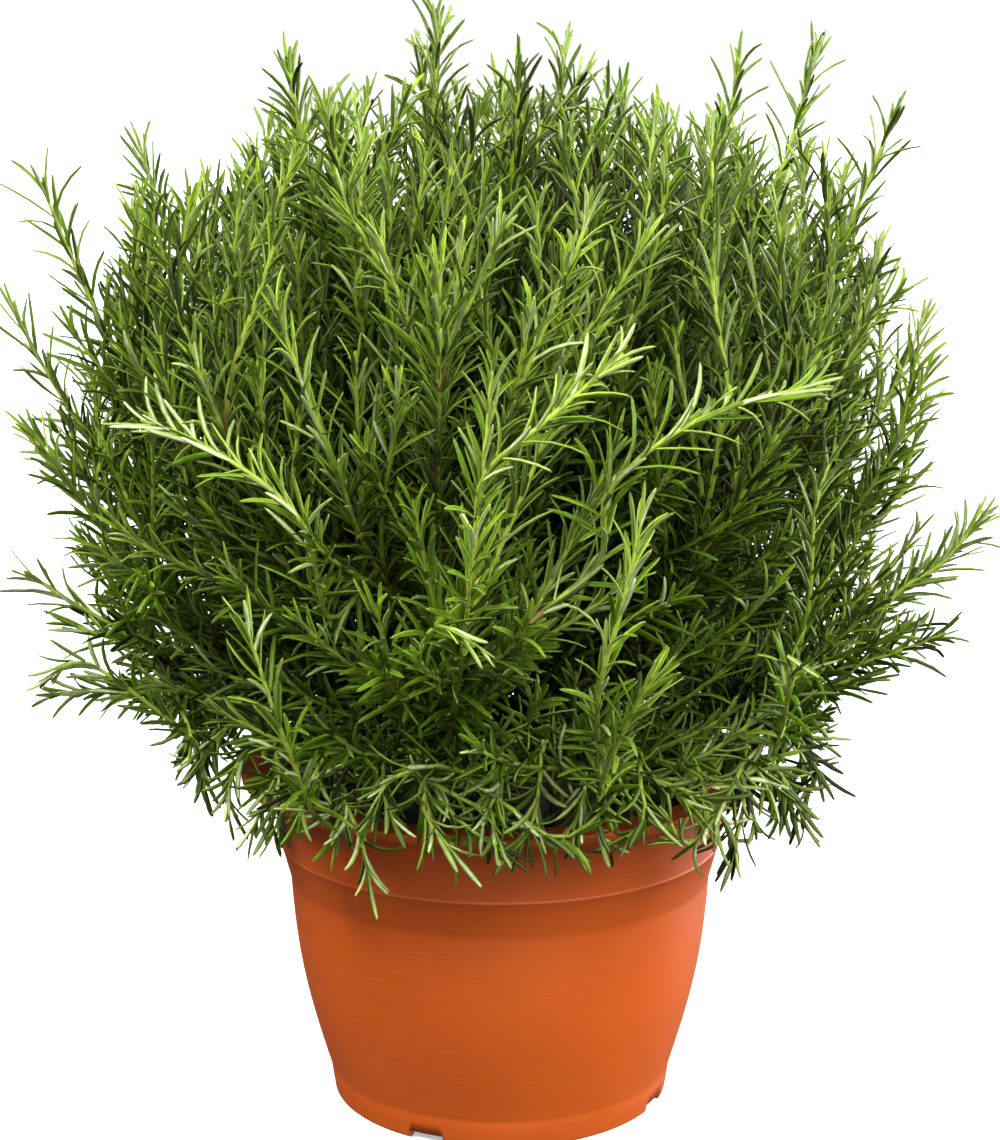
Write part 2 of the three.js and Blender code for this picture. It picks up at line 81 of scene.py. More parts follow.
# ---- The solids' driving dimensions ----
SEED = 20
RIM_R = 130 * MM
RIM_TOP = 170.5 * MM
RIM_EDGE = 4.5 * MM
BAND_TOP_R = 114 * MM
BAND_LOW_R = 111 * MM
BAND_LOW_Z = 133 * MM
BAND_STEP_INWARD, BAND_STEP_DOWN = 1.2 * MM, 4.5 * MM
BODY_TOP_R = 106.5 * MM
BODY_TOP_Z = 122 * MM
BODY_LOW_R = 87 * MM
BODY_LOW_Z = 14 * MM
BODY_BULGE = 4.2 * MM
FOOT_R = 85 * MM
FOOT_EASE_INWARD, FOOT_EASE_DOWN = 0.3 * MM, 3 * MM
FOOT_WIDTH = 4 * MM
WALL = 2 * MM
FLOOR_Z = 5 * MM
EDGE_EASE = 1 * MM
NOTCH_COUNT = 4
NOTCH_WIDTH = 18 * MM
NOTCH_HEIGHT = 4 * MM
NOTCH_TURN = math.radians(-25)
DRAIN_R = 5 * MM
DRAIN_RING_R = 58 * MM

SOIL_TOP = 152 * MM
SOIL_MOUND = 4 * MM
CLEAR = 0.3 * MM

INNER_STEMS = 3
STEM_RINGS = [(INNER_STEMS, 26 * MM, math.pi / 6), (7, 66 * MM, math.pi / 2)]  # how many, radius, turn
WOOD_R = 5.5 * MM
WOOD_TOP_R = 4.5 * MM
WOOD_ARM_BASE_R = 4.2 * MM
ROOTED_DEPTH = 40 * MM
FORK_HEIGHT = 34 * MM
WOOD_ARM_LENGTH = 36 * MM

SPRAY_COUNT = 40
INNER_SPRAYS = 12
CROWN_R = 224 * MM
CROWN_Z = 330 * MM
CROWN_HALF_HEIGHT = 198 * MM
CROWN_SQUARENESS = 0.77
CROWN_TOP_CROWDING = 1.25
CROWN_REACH = math.radians(132)
CROWN_RAGGED = 0.07
GOLDEN_ANGLE = math.pi * (3 - math.sqrt(5))

# Tips of the sprays that stand out of the crown's outline or hang over the brim, in millimetres.
STANDING_OUT = [
    (-31, -10, 550), (-99, -30, 521), (-182, 40, 484), (-216, -40, 470), (-243, 20, 402),
    (-216, -60, 345), (-244, 0, 274), (-228, -40, 214), (-186, 50, 184), (31, 30, 533),
    (114, -20, 524), (158, 40, 531), (184, -40, 499), (216, 40, 396), (246, 10, 300),
    (222, -50, 252), (170, -10, 180), (-62, -158, 180), (48, -170, 190), (92, -150, 186),
    (0, 246, 330), (-10, -244, 340),
]
UPRIGHT = (1.25, 0.6)  # lean at a main stem's start and end, as shares of its chord's
ARCHING = (0.62, 1.2)
UPRIGHT_TO_ARCHING = (math.radians(50), math.radians(85))  # the chord's lean

LATERALS = [(0.22, 1), (0.45, -1)]  # share of the green stem, side
LATERAL_SHARE = 0.62  # of the length that the main stem has left
LATERAL_LONGEST = 125 * MM
LATERAL_SIDEWAYS = 0.36
LATERAL_OUTWARD = 0.1
LATERAL_SPREAD = 1.1
LATERAL_END_SPREAD = 0.15

BEND_STEPS, SPAN_STEPS = 64, 12

# ---- Finer growth ----
GROWTH_SEED = 7
SPRAY_SEED = 1000

# Further side shoots of each main stem
SIDE_SHOOTS = 5
SIDE_FIRST, SIDE_LAST = 0.02, 0.62  # shares of the green stem
SIDE_SHARE = 0.5  # of the length that the main stem has left
SIDE_LONGEST = 115 * MM
SIDE_SHORTEST = 35 * MM
SIDE_SPREAD, SIDE_RISE = 0.55, 0.2  # of the tip, beside the stem's own way
SIDE_END_SPREAD, SIDE_UPTURN = 0.2, 0.35
SIDE_REACH_VARIES = (0.7, 1.1)
SIDE_VIGOUR = (0.75, 0.95)

# Further shoots that fill the crown, in layers: how many, between which shares of the crown's size they end,
# and what share of the low ones grows.
INFILL = [(520, 0.79, 0.96, 0.42), (430, 0.5, 0.79, 0.8), (260, 0.2, 0.5, 1.0)]
INFILL_THINNED = (240 * MM, 340 * MM)  # heights of the tips, from thinned growth to full
INFILL_REACH = math.radians(146)
INFILL_STARTS = (0.02, 0.85, 24)  # first and last share of a stem, and how many are tried
INFILL_LENGTH, INFILL_SPREAD = 95 * MM, 40 * MM
INFILL_ANGLE = math.radians(38)
CROWDING, CROWDING_R = 2, 12 * MM  # the cost of starting beside another shoot
INFILL_HANGS = (170 * MM, 270 * MM)  # heights of the tips, from hanging to rising
INFILL_OUTWARD = (0.15, 0.5)  # of a rising tip and of a hanging one
INFILL_UPWARD = (0.75, -0.5)
INFILL_TOWARD, INFILL_LIFT = 0.8, 0.3
INFILL_VIGOUR = (0.72, 0.98)

# Foremost sprigs, in millimetres: each grows from the nearest stem through these places.
FOREMOST = [
    [(-9, -205, 314), (-7, -225, 351), (16, -235, 374), (56, -215, 406)],
    [(41, -200, 313), (44, -220, 346), (79, -225, 375), (135, -190, 386)],
    [(-39, -160, 243), (-31, -205, 281), (-20, -222, 290), (-5, -228, 276)],
    [(43, -165, 218), (41, -205, 259), (50, -222, 301), (58, -225, 343)],
    [(44, -140, 192), (46, -170, 215), (58, -200, 254), (71, -205, 274)],
    [(-82, -120, 177), (-87, -160, 207), (-98, -175, 247), (-110, -180, 292)],
    [(-74, -150, 277), (-83, -185, 327), (-120, -170, 354), (-163, -120, 362)],
    [(134, -90, 225), (138, -120, 279), (139, -130, 326), (155, -110, 359)],
    [(123, -110, 202), (125, -160, 248), (122, -170, 266), (133, -165, 249)],
    [(-144, -60, 198), (-175, -70, 225), (-198, -70, 239), (-217, -70, 227)],
    [(177, -20, 237), (195, -20, 262), (217, -20, 277), (235, -20, 302)],
    [(8, -100, 204), (12, -125, 222), (16, -143, 236), (22, -156, 246)],
    [(30, -95, 200), (36, -120, 216), (44, -140, 226), (54, -152, 232)],
    [(-12, -95, 205), (-16, -122, 224), (-22, -142, 238), (-30, -154, 250)],
    # Two that stand up at the top.
    [(-30, -14, 470), (-31, -16, 500), (-29, -17, 522), (-27, -18, 542)],
    [(-34, -4, 462), (-36, -3, 490), (-37, -2, 510), (-38, 0, 530)],
]
# Sprigs that trail over the brim's front, likewise.
TRAILING = [
    [(-20, -130, 203), (0, -152, 196), (26, -158, 180), (52, -165, 201)],
    [(113, -100, 209), (104, -128, 193), (84, -145, 173), (70, -152, 196)],
    [(-9, -130, 201), (-27, -150, 211), (-44, -158, 209), (-59, -160, 198)],
    [(-79, -100, 194), (-70, -130, 189), (-61, -142, 170), (-57, -143, 142)],
    [(-94, -80, 193), (-103, -110, 193), (-109, -115, 180), (-118, -110, 159)],
    [(20, -130, 217), (17, -152, 200), (13, -154, 183), (0, -150, 164)],
    [(113, -80, 193), (112, -110, 183), (107, -118, 162), (104, -118, 147)],
    [(63, -130, 212), (62, -150, 200), (64, -152, 187), (49, -150, 172)],
    [(-50, -110, 205), (-52, -138, 206), (-50, -150, 192), (-40, -152, 176)],
    [(-30, -120, 205), (-34, -146, 202), (-30, -152, 186), (-22, -154, 168)],
    [(-70, -100, 208), (-80, -126, 206), (-88, -134, 190), (-92, -134, 170)],
    [(0, -120, 206), (2, -146, 206), (-6, -154, 190), (-12, -156, 176)],
    [(36, -115, 206), (38, -146, 204), (34, -154, 188), (28, -154, 174)],
    [(80, -95, 207), (88, -124, 205), (92, -132, 190), (90, -134, 172)],
    [(96, -80, 207), (112, -106, 204), (122, -112, 190), (126, -110, 174)],
    [(-92, -72, 206), (-112, -92, 206), (-124, -98, 192), (-128, -98, 172)],
    [(-100, -50, 208), (-128, -62, 206), (-140, -66, 192), (-146, -64, 176)],
    [(104, -44, 208), (132, -56, 206), (144, -60, 192), (148, -56, 178)],
]
PLACED_PALE = 0.2  # how much paler these sprigs are
PLACED_STARTS = (0.02, 0.9, 40)  # as INFILL_STARTS
PLACED_JOIN = 8 * MM  # a sprig that starts farther off is led to its stem

# Shoots that hang over the brim all round, through these radii and heights.
SKIRT_COUNT = 46
SKIRT = [(104 * MM, 205 * MM), (138 * MM, 208 * MM), (152 * MM, 190 * MM), (157 * MM, 164 * MM)]
SKIRT_DRIFT = 0.1
SKIRT_VARIES = 8 * MM

SPRAY_TONE = (0.25, 0.75)  # from dark to light
MAIN_VIGOUR = (0.95, 1.1)
SHOOT_TONE_VARIES = 0.12
SHOOT_YOUTH = (0.5, 1.0)
# What the height of a shoot's tip changes, from low growth to high growth.
LOW_TO_HIGH = (160 * MM, 340 * MM)
GROWTH = {
    "droop": (18, 0),
    "youth": (0.25, 1),
    "turned": (0.3, 0.12),
    "sparse": (1.12, 1),
    "axillary": (0.5, 1),
    "broad": (1.12, 1),
    "vigour": (0.85, 1),
}

# Stems
STEM_SIDES = 6
STEM_STEP = 9 * MM
STEM_BASE_R = 1.9 * MM
STEM_TIP_R = 0.85 * MM
LATERAL_BASE_R = 1.45 * MM
LEAST_BARK = 0.15  # of the greenest stem
BARK_FADES = 0.3  # the share of a brown foot that is brown all over
STEM_YOUTH = (0.0, 0.7)  # shares of a stem, from old green to new green
WOOD_SIDES = 14
WOOD_STEP = 2 * MM
WOOD_RIDGES, WOOD_RIDGE, WOOD_ROUGH = 3, 0.08, 0.05  # how many, and shares of the radius
WOOD_TURN = (0, 6)  # how far round the ridges start, in radians
FORK_LAP = 3 * MM  # how far a trunk runs up past its fork

# Leaves. Spacing, length, opening, arch and youth are given for old leaves and for those at a stem's tip.
NODE_SPACING = (6.8 * MM, 4.2 * MM)
NODE_SPACING_VARIES = (0.85, 1.15)
CROWDED_END = 24 * MM  # of a stem, where its leaves stand closer
FRESH_END = 26 * MM  # of a stem, where its leaves are new
OLD_FROM = (90 * MM, 220 * MM)  # below a stem's end, from where leaves open wider to where they do so fully
OLD_OPENING = 14
TIP_LEAVES = 10 * MM  # the end of a shoot's path that only its last leaves fill
LEAF_LENGTH = (25 * MM, 17 * MM)
SHORT_AT_TIP = 1.5  # above 1 keeps the short leaves to the very tip
LEAF_YOUTH = (0.35, 1)
LEAF_HALF_WIDTH = 1.05 * MM
NEW_NARROWER = 0.12
LEAF_ROOT_R = 0.51 * MM  # from the stem's middle
LEAF_THICK = 0.9 * MM
LEAF_OPENING = (25, 11)  # degrees from the stem
LEAF_ARCH = (26, 18)  # degrees from root to tip
LEAST_LEAF = 6 * MM
PAIR_TURN_VARIES, LEAF_TURN_VARIES = 0.16, 0.14
SMALL_TURN = 0.5  # from a leaf to the small one beside it
SMALL_SHORTER, SMALL_NARROWER, SMALL_CLOSER = 0.4, 0.2, 6
LEAF_VARIES = {
    "length": 0.15,
    "opening": 0.28,
    "arch": 17,
    "sway": 0.22,
    "width": 0.1,
    "roll": 0.22,
    "turned": 1.6,
    "twist": 0.3,
    "tone": 0.26,
    "youth": 0.08,
}
LEAF_RINGS = (0.0, 0.15, 0.42, 0.7, 0.92)
LEAF_WIDTHS = np.array([0.55, 0.85, 1.0, 0.95, 0.6])
LEAF_SIDES = 6
# A leaf's section, from its left edge over the grooved top to the right edge and back under the midrib.
SECTION_ACROSS = np.array([-1.0, 0.0, 1.0, 0.8, 0.0, -0.8])
SECTION_UP = np.array([0.1, -0.1, 0.1, -0.9, -0.65, -0.9])
SECTION_UNDER = (0, 0, 0, 1, 1, 1)
SECTION_MARGIN = (1, 0, 1, 1, 0, 1)
TIP_UNDER, TIP_MARGIN = 0.4, 0.5
CELL_EDGE = 0.06  # the share on each side of a map's cell that stays free
LOW_SHADE = 0.14  # how much deeper in the crown the lowest leaves count as, for their shade
LOW_SHADE_HEIGHTS = (190 * MM, 320 * MM)
BOX_ROOM = 1 * MM  # left between leaves and the solids' box
POT_ROOM, WALL_ROOM = 1.5 * MM, 2 * MM

# Pot and soil
POT_SEGMENTS = 180
BODY_STEPS = 14
RIDGE, RIDGE_FOOT = 0.5 * MM, 0.1 * MM
THROAT_EASE = 0.5 * MM  # of the brim's inner edge
CORNER_EASE, CORNER_STEPS = 1.5 * MM, (0, 0.33, 0.67, 1)
DRAIN_SIDES = 24
SOIL_BODY_STEPS = 6
SOIL_RINGS = 60
CRUMB_HIGH, CRUMB_ASIDE = 1.3 * MM, 0.5 * MM

# ---- Colours, each at its place on a ramp ----
OLD_TOP = [
    (0.0, (0.008, 0.014, 0.004)),
    (0.3, (0.025, 0.06, 0.002)),
    (0.6, (0.05, 0.12, 0.003)),
    (1.0, (0.1, 0.2, 0.006)),
]
YOUNG_TOP = [(0.0, (0.05, 0.09, 0.006)), (0.3, (0.135, 0.255, 0.01)), (1.0, (0.3, 0.46, 0.035))]
UNDERSIDE = [
    (0.0, (0.02, 0.03, 0.012)),
    (0.35, (0.11, 0.165, 0.03)),
    (0.65, (0.24, 0.31, 0.09)),
    (1.0, (0.48, 0.55, 0.27)),
]
ROOT_TO_TIP = [(0.0, (1.6, 1.4, 1.6)), (0.25, (1, 1, 1)), (0.8, (1, 1, 1)), (1.0, (0.7, 0.65, 0.8))]
# Painted highlight: the tops of the leaves are paler along their margins and a little darker between them.
TOP_MARGIN_HIGHLIGHT = [(0.5, (0.82, 0.82, 0.82)), (0.95, (1.9, 1.7, 2.2))]
ROLLED_MARGIN = [(0.3, (1.5, 1.4, 1.8)), (0.8, (0.7, 0.75, 0.6))]
GREEN_TO_BROWN = [(0.15, (0.33, 0.42, 0.06)), (0.45, (0.24, 0.25, 0.045)), (1.0, (0.12, 0.075, 0.035))]
CROWN_SHADE = [(0.0, (0.98, 1, 0.9)), (0.25, (0.57, 0.6, 0.5)), (0.6, (0.2, 0.23, 0.14))]
LEAF_MOTTLE = [(0.3, (0.78, 0.78, 0.78)), (0.7, (1.2, 1.2, 1.2))]
PLASTIC = [(0.3, (0.43, 0.064, 0.001)), (0.7, (0.48, 0.078, 0.003))]
MOULD_MARKS = [(0.32, (0.95, 0.94, 0.94)), (0.5, (1, 1, 1)), (0.7, (1.04, 1.06, 1.1))]
SPECKS = [(0.2, (0.5, 0.45, 0.45)), (0.22, (1, 1, 1))]
EARTH = [(0.3, (0.006, 0.004, 0.003)), (0.6, (0.03, 0.018, 0.01)), (0.8, (0.09, 0.055, 0.03))]
BARK = [(0.3, (0.03, 0.018, 0.009)), (0.55, (0.1, 0.06, 0.03)), (0.8, (0.2, 0.13, 0.075))]


# ---- Helpers ----
def draws(seed):
    """A repeatable draw from 0 to 1, the one that the solids use."""
    mask = 0xFFFFFFFF
    state = seed & mask

    def draw():
        nonlocal state
        state = (state + 0x6D2B79F5) & mask
        t = ((state ^ (state >> 15)) * (1 | state)) & mask
        t = ((t + ((t ^ (t >> 7)) * (61 | t))) ^ t) & mask
        return (t ^ (t >> 14)) / 2**32

    return draw


def mix(a, b, t):
    return a + (b - a) * t


def smoothstep(x, low, high):
    t = np.clip((x - low) / (high - low), 0.0, 1.0)
    return t * t * (3 - 2 * t)


def unit(v):
    return v / np.maximum(np.linalg.norm(v, axis=-1, keepdims=True), 1e-12)


def ring_point(radius, turn, z):
    return np.array([radius * math.cos(turn), radius * math.sin(turn), z])


def linked(data, material=None):
    """A new object in the scene, made of a mesh, a lamp or a camera and named after it."""
    made = bpy.data.objects.new(data.name, data)
    bpy.context.scene.collection.objects.link(made)
    if material:
        data.materials.append(material)
    return made


def dress(piece, slot, *nodes):
    """Says what a piece rides on and which nodes it replaces. The slot is not used."""
    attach(piece, "root")
    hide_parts(*nodes)


# ---- Paths ----
def bezier(a, b, c, d, steps):
    t = np.linspace(0, 1, steps + 1)[:, None]
    s = 1 - t
    return s**3 * a + 3 * s * s * t * b + 3 * s * t * t * c + t**3 * d


class Path:
    """A curve that is read by the share of its length."""

    def __init__(self, points):
        self.points = points
        steps = np.linalg.norm(np.diff(self.points, axis=0), axis=1)
        self.along = np.concatenate([[0], np.cumsum(steps)])
        self.length = self.along[-1]

    def point(self, share):
        at = np.asarray(share) * self.length
        return np.stack([np.interp(at, self.along, self.points[:, k]) for k in range(3)], -1)

    def way(self, share):
        share = np.asarray(share, float)
        step = 0.01
        return unit(self.point(np.minimum(share + step, 1)) - self.point(np.maximum(share - step, 0)))


def bend(start, start_way, end, end_way):
    """The path that leaves start along start_way and reaches end along end_way."""
    third = np.linalg.norm(end - start) / 3
    return Path(bezier(start, start + start_way * third, end - end_way * third, end, BEND_STEPS))


def through(places):
    """The path through several places."""
    places = np.array(places)
    ways = np.gradient(places, axis=0) / 3
    spans = []
    for a, b, a_way, b_way in zip(places, places[1:], ways, ways[1:]):
        spans.append(bezier(a, a + a_way, b - b_way, b, SPAN_STEPS)[:-1])
    return Path(np.concatenate(spans + [places[-1:]]))


def frames_along(path, shares):
    """Points, ways and two directions across a path."""
    point, way = path.point(shares), path.way(shares)
    chord = np.abs(path.points[-1] - path.points[0])
    across = np.eye(3)[int(np.argmin(chord))]
    side = unit(np.cross(np.broadcast_to(across, way.shape), way))
    return point, way, side, np.cross(way, side)


# ---- The stems that the solids have ----
def crown_place(i, count, reach, size, turn=0.0):
    """Where tip i of count lies: at size times the crown's outline, which it follows down to reach."""
    share = ((i + 0.5) / count) ** CROWN_TOP_CROWDING
    angle = math.acos(1 - share * (1 - math.cos(reach)))
    level = math.cos(angle)
    r = CROWN_R * size * math.sin(angle) ** CROWN_SQUARENESS
    rise = CROWN_HALF_HEIGHT * size * abs(level) ** CROWN_SQUARENESS
    return ring_point(r, turn + i * GOLDEN_ANGLE, CROWN_Z + math.copysign(rise, level))


def crown_tips():
    """The main stems' tips: a regular set, with the nearest one to each of STANDING_OUT moved there."""
    draw = draws(SEED)
    tips = []
    for i in range(SPRAY_COUNT):
        stretch = 1 + CROWN_RAGGED * (2 * draw() - 1)
        tips.append(crown_place(i, SPRAY_COUNT, CROWN_REACH, stretch))
    free = list(range(SPRAY_COUNT))
    for place in STANDING_OUT:
        goal = np.array(place) * MM
        nearest = min(free, key=lambda i: np.linalg.norm(tips[i] - goal))
        tips[nearest] = goal
        free.remove(nearest)
    return tips


def stem_roots():
    roots = []
    for count, radius, turn in STEM_RINGS:
        roots += [ring_point(radius, turn + i * 2 * math.pi / count, 0) for i in range(count)]
    return roots


def leaning(outward, lean):
    return outward * math.sin(lean) + UP * math.cos(lean)


def plan_sprays(roots):
    """For each tip: its woody stem, its main stem's path from the fork, and its way outward."""
    tips = crown_tips()
    tips.sort(key=lambda tip: math.atan2(math.hypot(tip[0], tip[1]), tip[2] - CROWN_Z))
    plans = []
    for rank, tip in enumerate(tips):
        flat = tip * (1, 1, 0)
        carriers = range(INNER_STEMS) if rank < INNER_SPRAYS else range(INNER_STEMS, len(roots))
        wood = min(carriers, key=lambda i: np.linalg.norm(roots[i] - flat))
        root = roots[wood]
        fork = root + UP * (SOIL_TOP + FORK_HEIGHT)
        outward = unit(flat - root)
        lean = math.atan2(np.linalg.norm(flat - root), tip[2] - fork[2])
        arching = smoothstep(lean, *UPRIGHT_TO_ARCHING)
        start_way = leaning(outward, lean * mix(UPRIGHT[0], ARCHING[0], arching))
        end_way = leaning(outward, lean * mix(UPRIGHT[1], ARCHING[1], arching))
        plans.append({"wood": wood, "path": bend(fork, start_way, tip, end_way), "outward": outward})
    return plans


def lateral_path(plan, at, side):
    path = plan["path"]
    share = mix(WOOD_ARM_LENGTH / path.length, 1, at)
    start, way = path.point(share), path.way(share)
    sideways = np.cross(plan["outward"], UP) * side
    reach = min(LATERAL_SHARE * path.length * (1 - share), LATERAL_LONGEST)
    end = (
        start
        + way * reach * (1 - LATERAL_OUTWARD)
        + sideways * reach * LATERAL_SIDEWAYS
        + plan["outward"] * reach * LATERAL_OUTWARD
    )
    start_way, end_way = unit(way + sideways * LATERAL_SPREAD), unit(way + sideways * LATERAL_END_SPREAD)
    return bend(start, start_way, end, end_way)


# ---- Meshes from arrays ----
class Build:
    """Gathers bodies for one mesh. Its map is a square of cells, one for each leaf or stem."""

    NUMBERS = ("under", "margin", "along", "tone", "depth", "youth", "woody")

    def __init__(self, cells):
        self.side = math.ceil(math.sqrt(cells))
        self.points, self.faces, self.count = [], [], 0
        self.numbers = {name: [] for name in self.NUMBERS}

    def places(self, cells, u, v):
        """Where corners lie in the map: at u and v in their cells."""
        cell = np.stack([cells % self.side, cells // self.side], -1)[:, None, None]
        return (cell + mix(CELL_EDGE, 1 - CELL_EDGE, np.stack([u, v], -1))) / self.side

    def add(self, points, numbers, *faces):
        """Adds points with their numbers, and pairs of faces and places. A number that is left out is 0."""
        self.faces += [(corners + self.count, places) for corners, places in faces]
        for name, values in self.numbers.items():
            values.append(np.broadcast_to(numbers.get(name, 0.0), len(points)))
        self.points.append(points)
        self.count += len(points)

    def mesh(self, name):
        """The mesh, with its quads before its triangles."""
        points = np.concatenate(self.points)
        self.faces.sort(key=lambda pair: -pair[0].shape[1])
        corners = np.concatenate([faces.ravel() for faces, _ in self.faces])
        sizes = np.concatenate([np.full(len(faces), faces.shape[1]) for faces, _ in self.faces])
        uv = np.concatenate([places.reshape(-1, 2) for _, places in self.faces])
        mesh = bpy.data.meshes.new(name)
        mesh.vertices.add(len(points))
        mesh.vertices.foreach_set("co", points.astype(np.float32).ravel())
        mesh.loops.add(len(corners))
        mesh.loops.foreach_set("vertex_index", corners.astype(np.int32))
        mesh.polygons.add(len(sizes))
        mesh.polygons.foreach_set("loop_start", (np.cumsum(sizes) - sizes).astype(np.int32))
        for key, values in self.numbers.items():
            layer = mesh.attributes.new(key, "FLOAT", "POINT")
            layer.data.foreach_set("value", np.concatenate(values).astype(np.float32))
        mesh.uv_layers.new(name="OFBake").uv.foreach_set("vector", uv.astype(np.float32).ravel())
        mesh.update(calc_edges=True)
        mesh.validate()
        mesh.shade_smooth()
        return mesh


def tube_faces(sides, along):
    """The quads between a tube's rings, with where each corner lies round it and along it."""
    quads, u, v = [], [], []
    for k, (near, far) in enumerate(zip(along, along[1:])):
        for j in range(sides):
            n = (j + 1) % sides
            quads.append([k * sides + j, k * sides + n, (k + 1) * sides + n, (k + 1) * sides + j])
            u.append([j / sides, (j + 1) / sides, (j + 1) / sides, j / sides])
            v.append([near, near, far, far])
    return np.array(quads), np.array(u), np.array(v)


def tip_faces(sides, first, near):
    """The triangles from a leaf's last ring, whose points start at first, to its tip, as in tube_faces."""
    j = np.arange(sides)
    tris = first + np.stack([j, (j + 1) % sides, np.full(sides, sides)], 1)
    u = np.stack([j, j + 1, j + 0.5], 1) / sides
    return tris, u, np.tile([near, near, 1.0], (sides, 1))


def crown_depth(points):
    """How deep in the crown points lie, for the painted shade: 0 on its outline, 1 at its middle. Low growth
    counts as deeper.
    """
    r = np.hypot(points[..., 0], points[..., 1]) / CROWN_R
    rise = (points[..., 2] - CROWN_Z) / CROWN_HALF_HEIGHT
    shaded = LOW_SHADE * (1 - smoothstep(points[..., 2], *LOW_SHADE_HEIGHTS))
    return np.clip(1 - np.hypot(r, rise), 0, 1) + shaded


def leaf_points(leaves):
    """The points of each leaf: its rings, from the root on, and its tip."""
    count = len(leaves["root"])
    along = np.array(LEAF_RINGS + (1.0,))
    middle = (along[1:] + along[:-1]) / 2
    angle = leaves["open"][:, None] + leaves["arch"][:, None] * middle
    stem, out, side = leaves["stem"][:, None], leaves["out"][:, None], leaves["side"][:, None]
    steps = stem * np.cos(angle)[..., None] + out * np.sin(angle)[..., None]
    steps = unit(steps + side * (leaves["sway"][:, None] * middle)[..., None])
    steps = steps * (np.diff(along) * leaves["length"][:, None])[..., None]
    centre = leaves["root"][:, None] + np.concatenate([np.zeros((count, 1, 3)), np.cumsum(steps, 1)], 1)
    way = unit(np.concatenate([steps[:, :1], steps], 1))
    top = unit(stem - way * (stem * way).sum(-1, keepdims=True))
    across = np.cross(way, top)
    roll = (leaves["roll"][:, None] + leaves["twist"][:, None] * along)[..., None]
    across, top = across * np.cos(roll) + top * np.sin(roll), top * np.cos(roll) - across * np.sin(roll)
    rings = len(LEAF_RINGS)
    width = LEAF_WIDTHS * leaves["half_width"][:, None]
    broad = (leaves["half_width"] / LEAF_HALF_WIDTH)[:, None]
    thick = LEAF_WIDTHS**0.5 * LEAF_THICK * broad
    points = (
        centre[:, :rings, None]
        + across[:, :rings, None] * (SECTION_ACROSS * width[..., None])[..., None]
        + top[:, :rings, None] * (SECTION_UP * thick[..., None])[..., None]
    )
    return np.concatenate([points.reshape(count, -1, 3), centre[:, -1:]], 1)


def add_leaves(build, leaves, first_cell):
    """Adds all the leaves of a piece at once. Each key of leaves holds an array with a row for each leaf."""
    points = leaf_points(leaves)
    count, per_leaf = points.shape[:2]
    points = points.reshape(-1, 3)
    rings = len(LEAF_RINGS)
    numbers = {
        "under": np.tile(np.append(np.tile(SECTION_UNDER, rings), TIP_UNDER), count),
        "margin": np.tile(np.append(np.tile(SECTION_MARGIN, rings), TIP_MARGIN), count),
        "along": np.tile(np.append(np.repeat(LEAF_RINGS, LEAF_SIDES), 1.0), count),
        "tone": np.repeat(leaves["tone"], per_leaf),
        "depth": crown_depth(points),
        "youth": np.repeat(leaves["youth"], per_leaf),
    }
    starts = (np.arange(count) * per_leaf)[:, None, None]
    cells = first_cell + np.arange(count)
    quads, quad_u, quad_v = tube_faces(LEAF_SIDES, LEAF_RINGS)
    tris, tri_u, tri_v = tip_faces(LEAF_SIDES, (rings - 1) * LEAF_SIDES, LEAF_RINGS[-1])
    build.add(
        points,
        numbers,
        ((quads + starts).reshape(-1, 4), build.places(cells, quad_u, quad_v)),
        ((tris + starts).reshape(-1, 3), build.places(cells, tri_u, tri_v)),
    )


def add_stem(build, shoot, cell, sides=STEM_SIDES, step=STEM_STEP, knots=None):
    """A tapered tube along a path. With knots, a random source, it gets the ridges and swellings of bark."""
    path, first, last = shoot["path"], shoot["from"], shoot["to"]
    count = max(4, int(path.length * (last - first) / step))
    shares = np.linspace(first, last, count + 1)
    point, _, side, front = frames_along(path, shares)
    turn = np.arange(sides) * 2 * math.pi / sides
    radius = mix(*shoot["radii"], np.linspace(0, 1, count + 1))[:, None, None]
    if knots is not None:
        ridges = WOOD_RIDGE * np.sin(turn * WOOD_RIDGES + knots.uniform(*WOOD_TURN))
        radius = radius * (1 + ridges + knots.normal(0, WOOD_ROUGH, (count + 1, sides)))[..., None]
    circle = side[:, None] * np.cos(turn)[:, None] + front[:, None] * np.sin(turn)[:, None]
    points = (point[:, None] + circle * radius).reshape(-1, 3)
    quads, u, v = tube_faces(sides, np.linspace(0, 1, count + 1))
    t = np.repeat(shares, sides)
    green = smoothstep(t * path.length, shoot["bark_to"] * BARK_FADES, shoot["bark_to"])
    numbers = {
        "along": t,
        "tone": shoot["tone"],
        "depth": crown_depth(points),
        "youth": shoot["youth"] * smoothstep(t, *STEM_YOUTH),
        "woody": mix(1, LEAST_BARK, green),
    }
    build.add(points, numbers, (quads, build.places(np.array([cell]), u, v)))


# ---- Where leaves stand ----
def pair_places(shoot, end, rng):
    """How far along a shoot its pairs of leaves stand, up to its end."""
    at = shoot["from"] * shoot["path"].length + shoot["bare"]
    places = []
    while at < end:
        places.append(at)
        crowded = 1 - float(smoothstep(end - at, 0, CROWDED_END))
        at += mix(*NODE_SPACING, crowded) * shoot["sparse"] * rng.uniform(*NODE_SPACING_VARIES)
    return np.array(places)


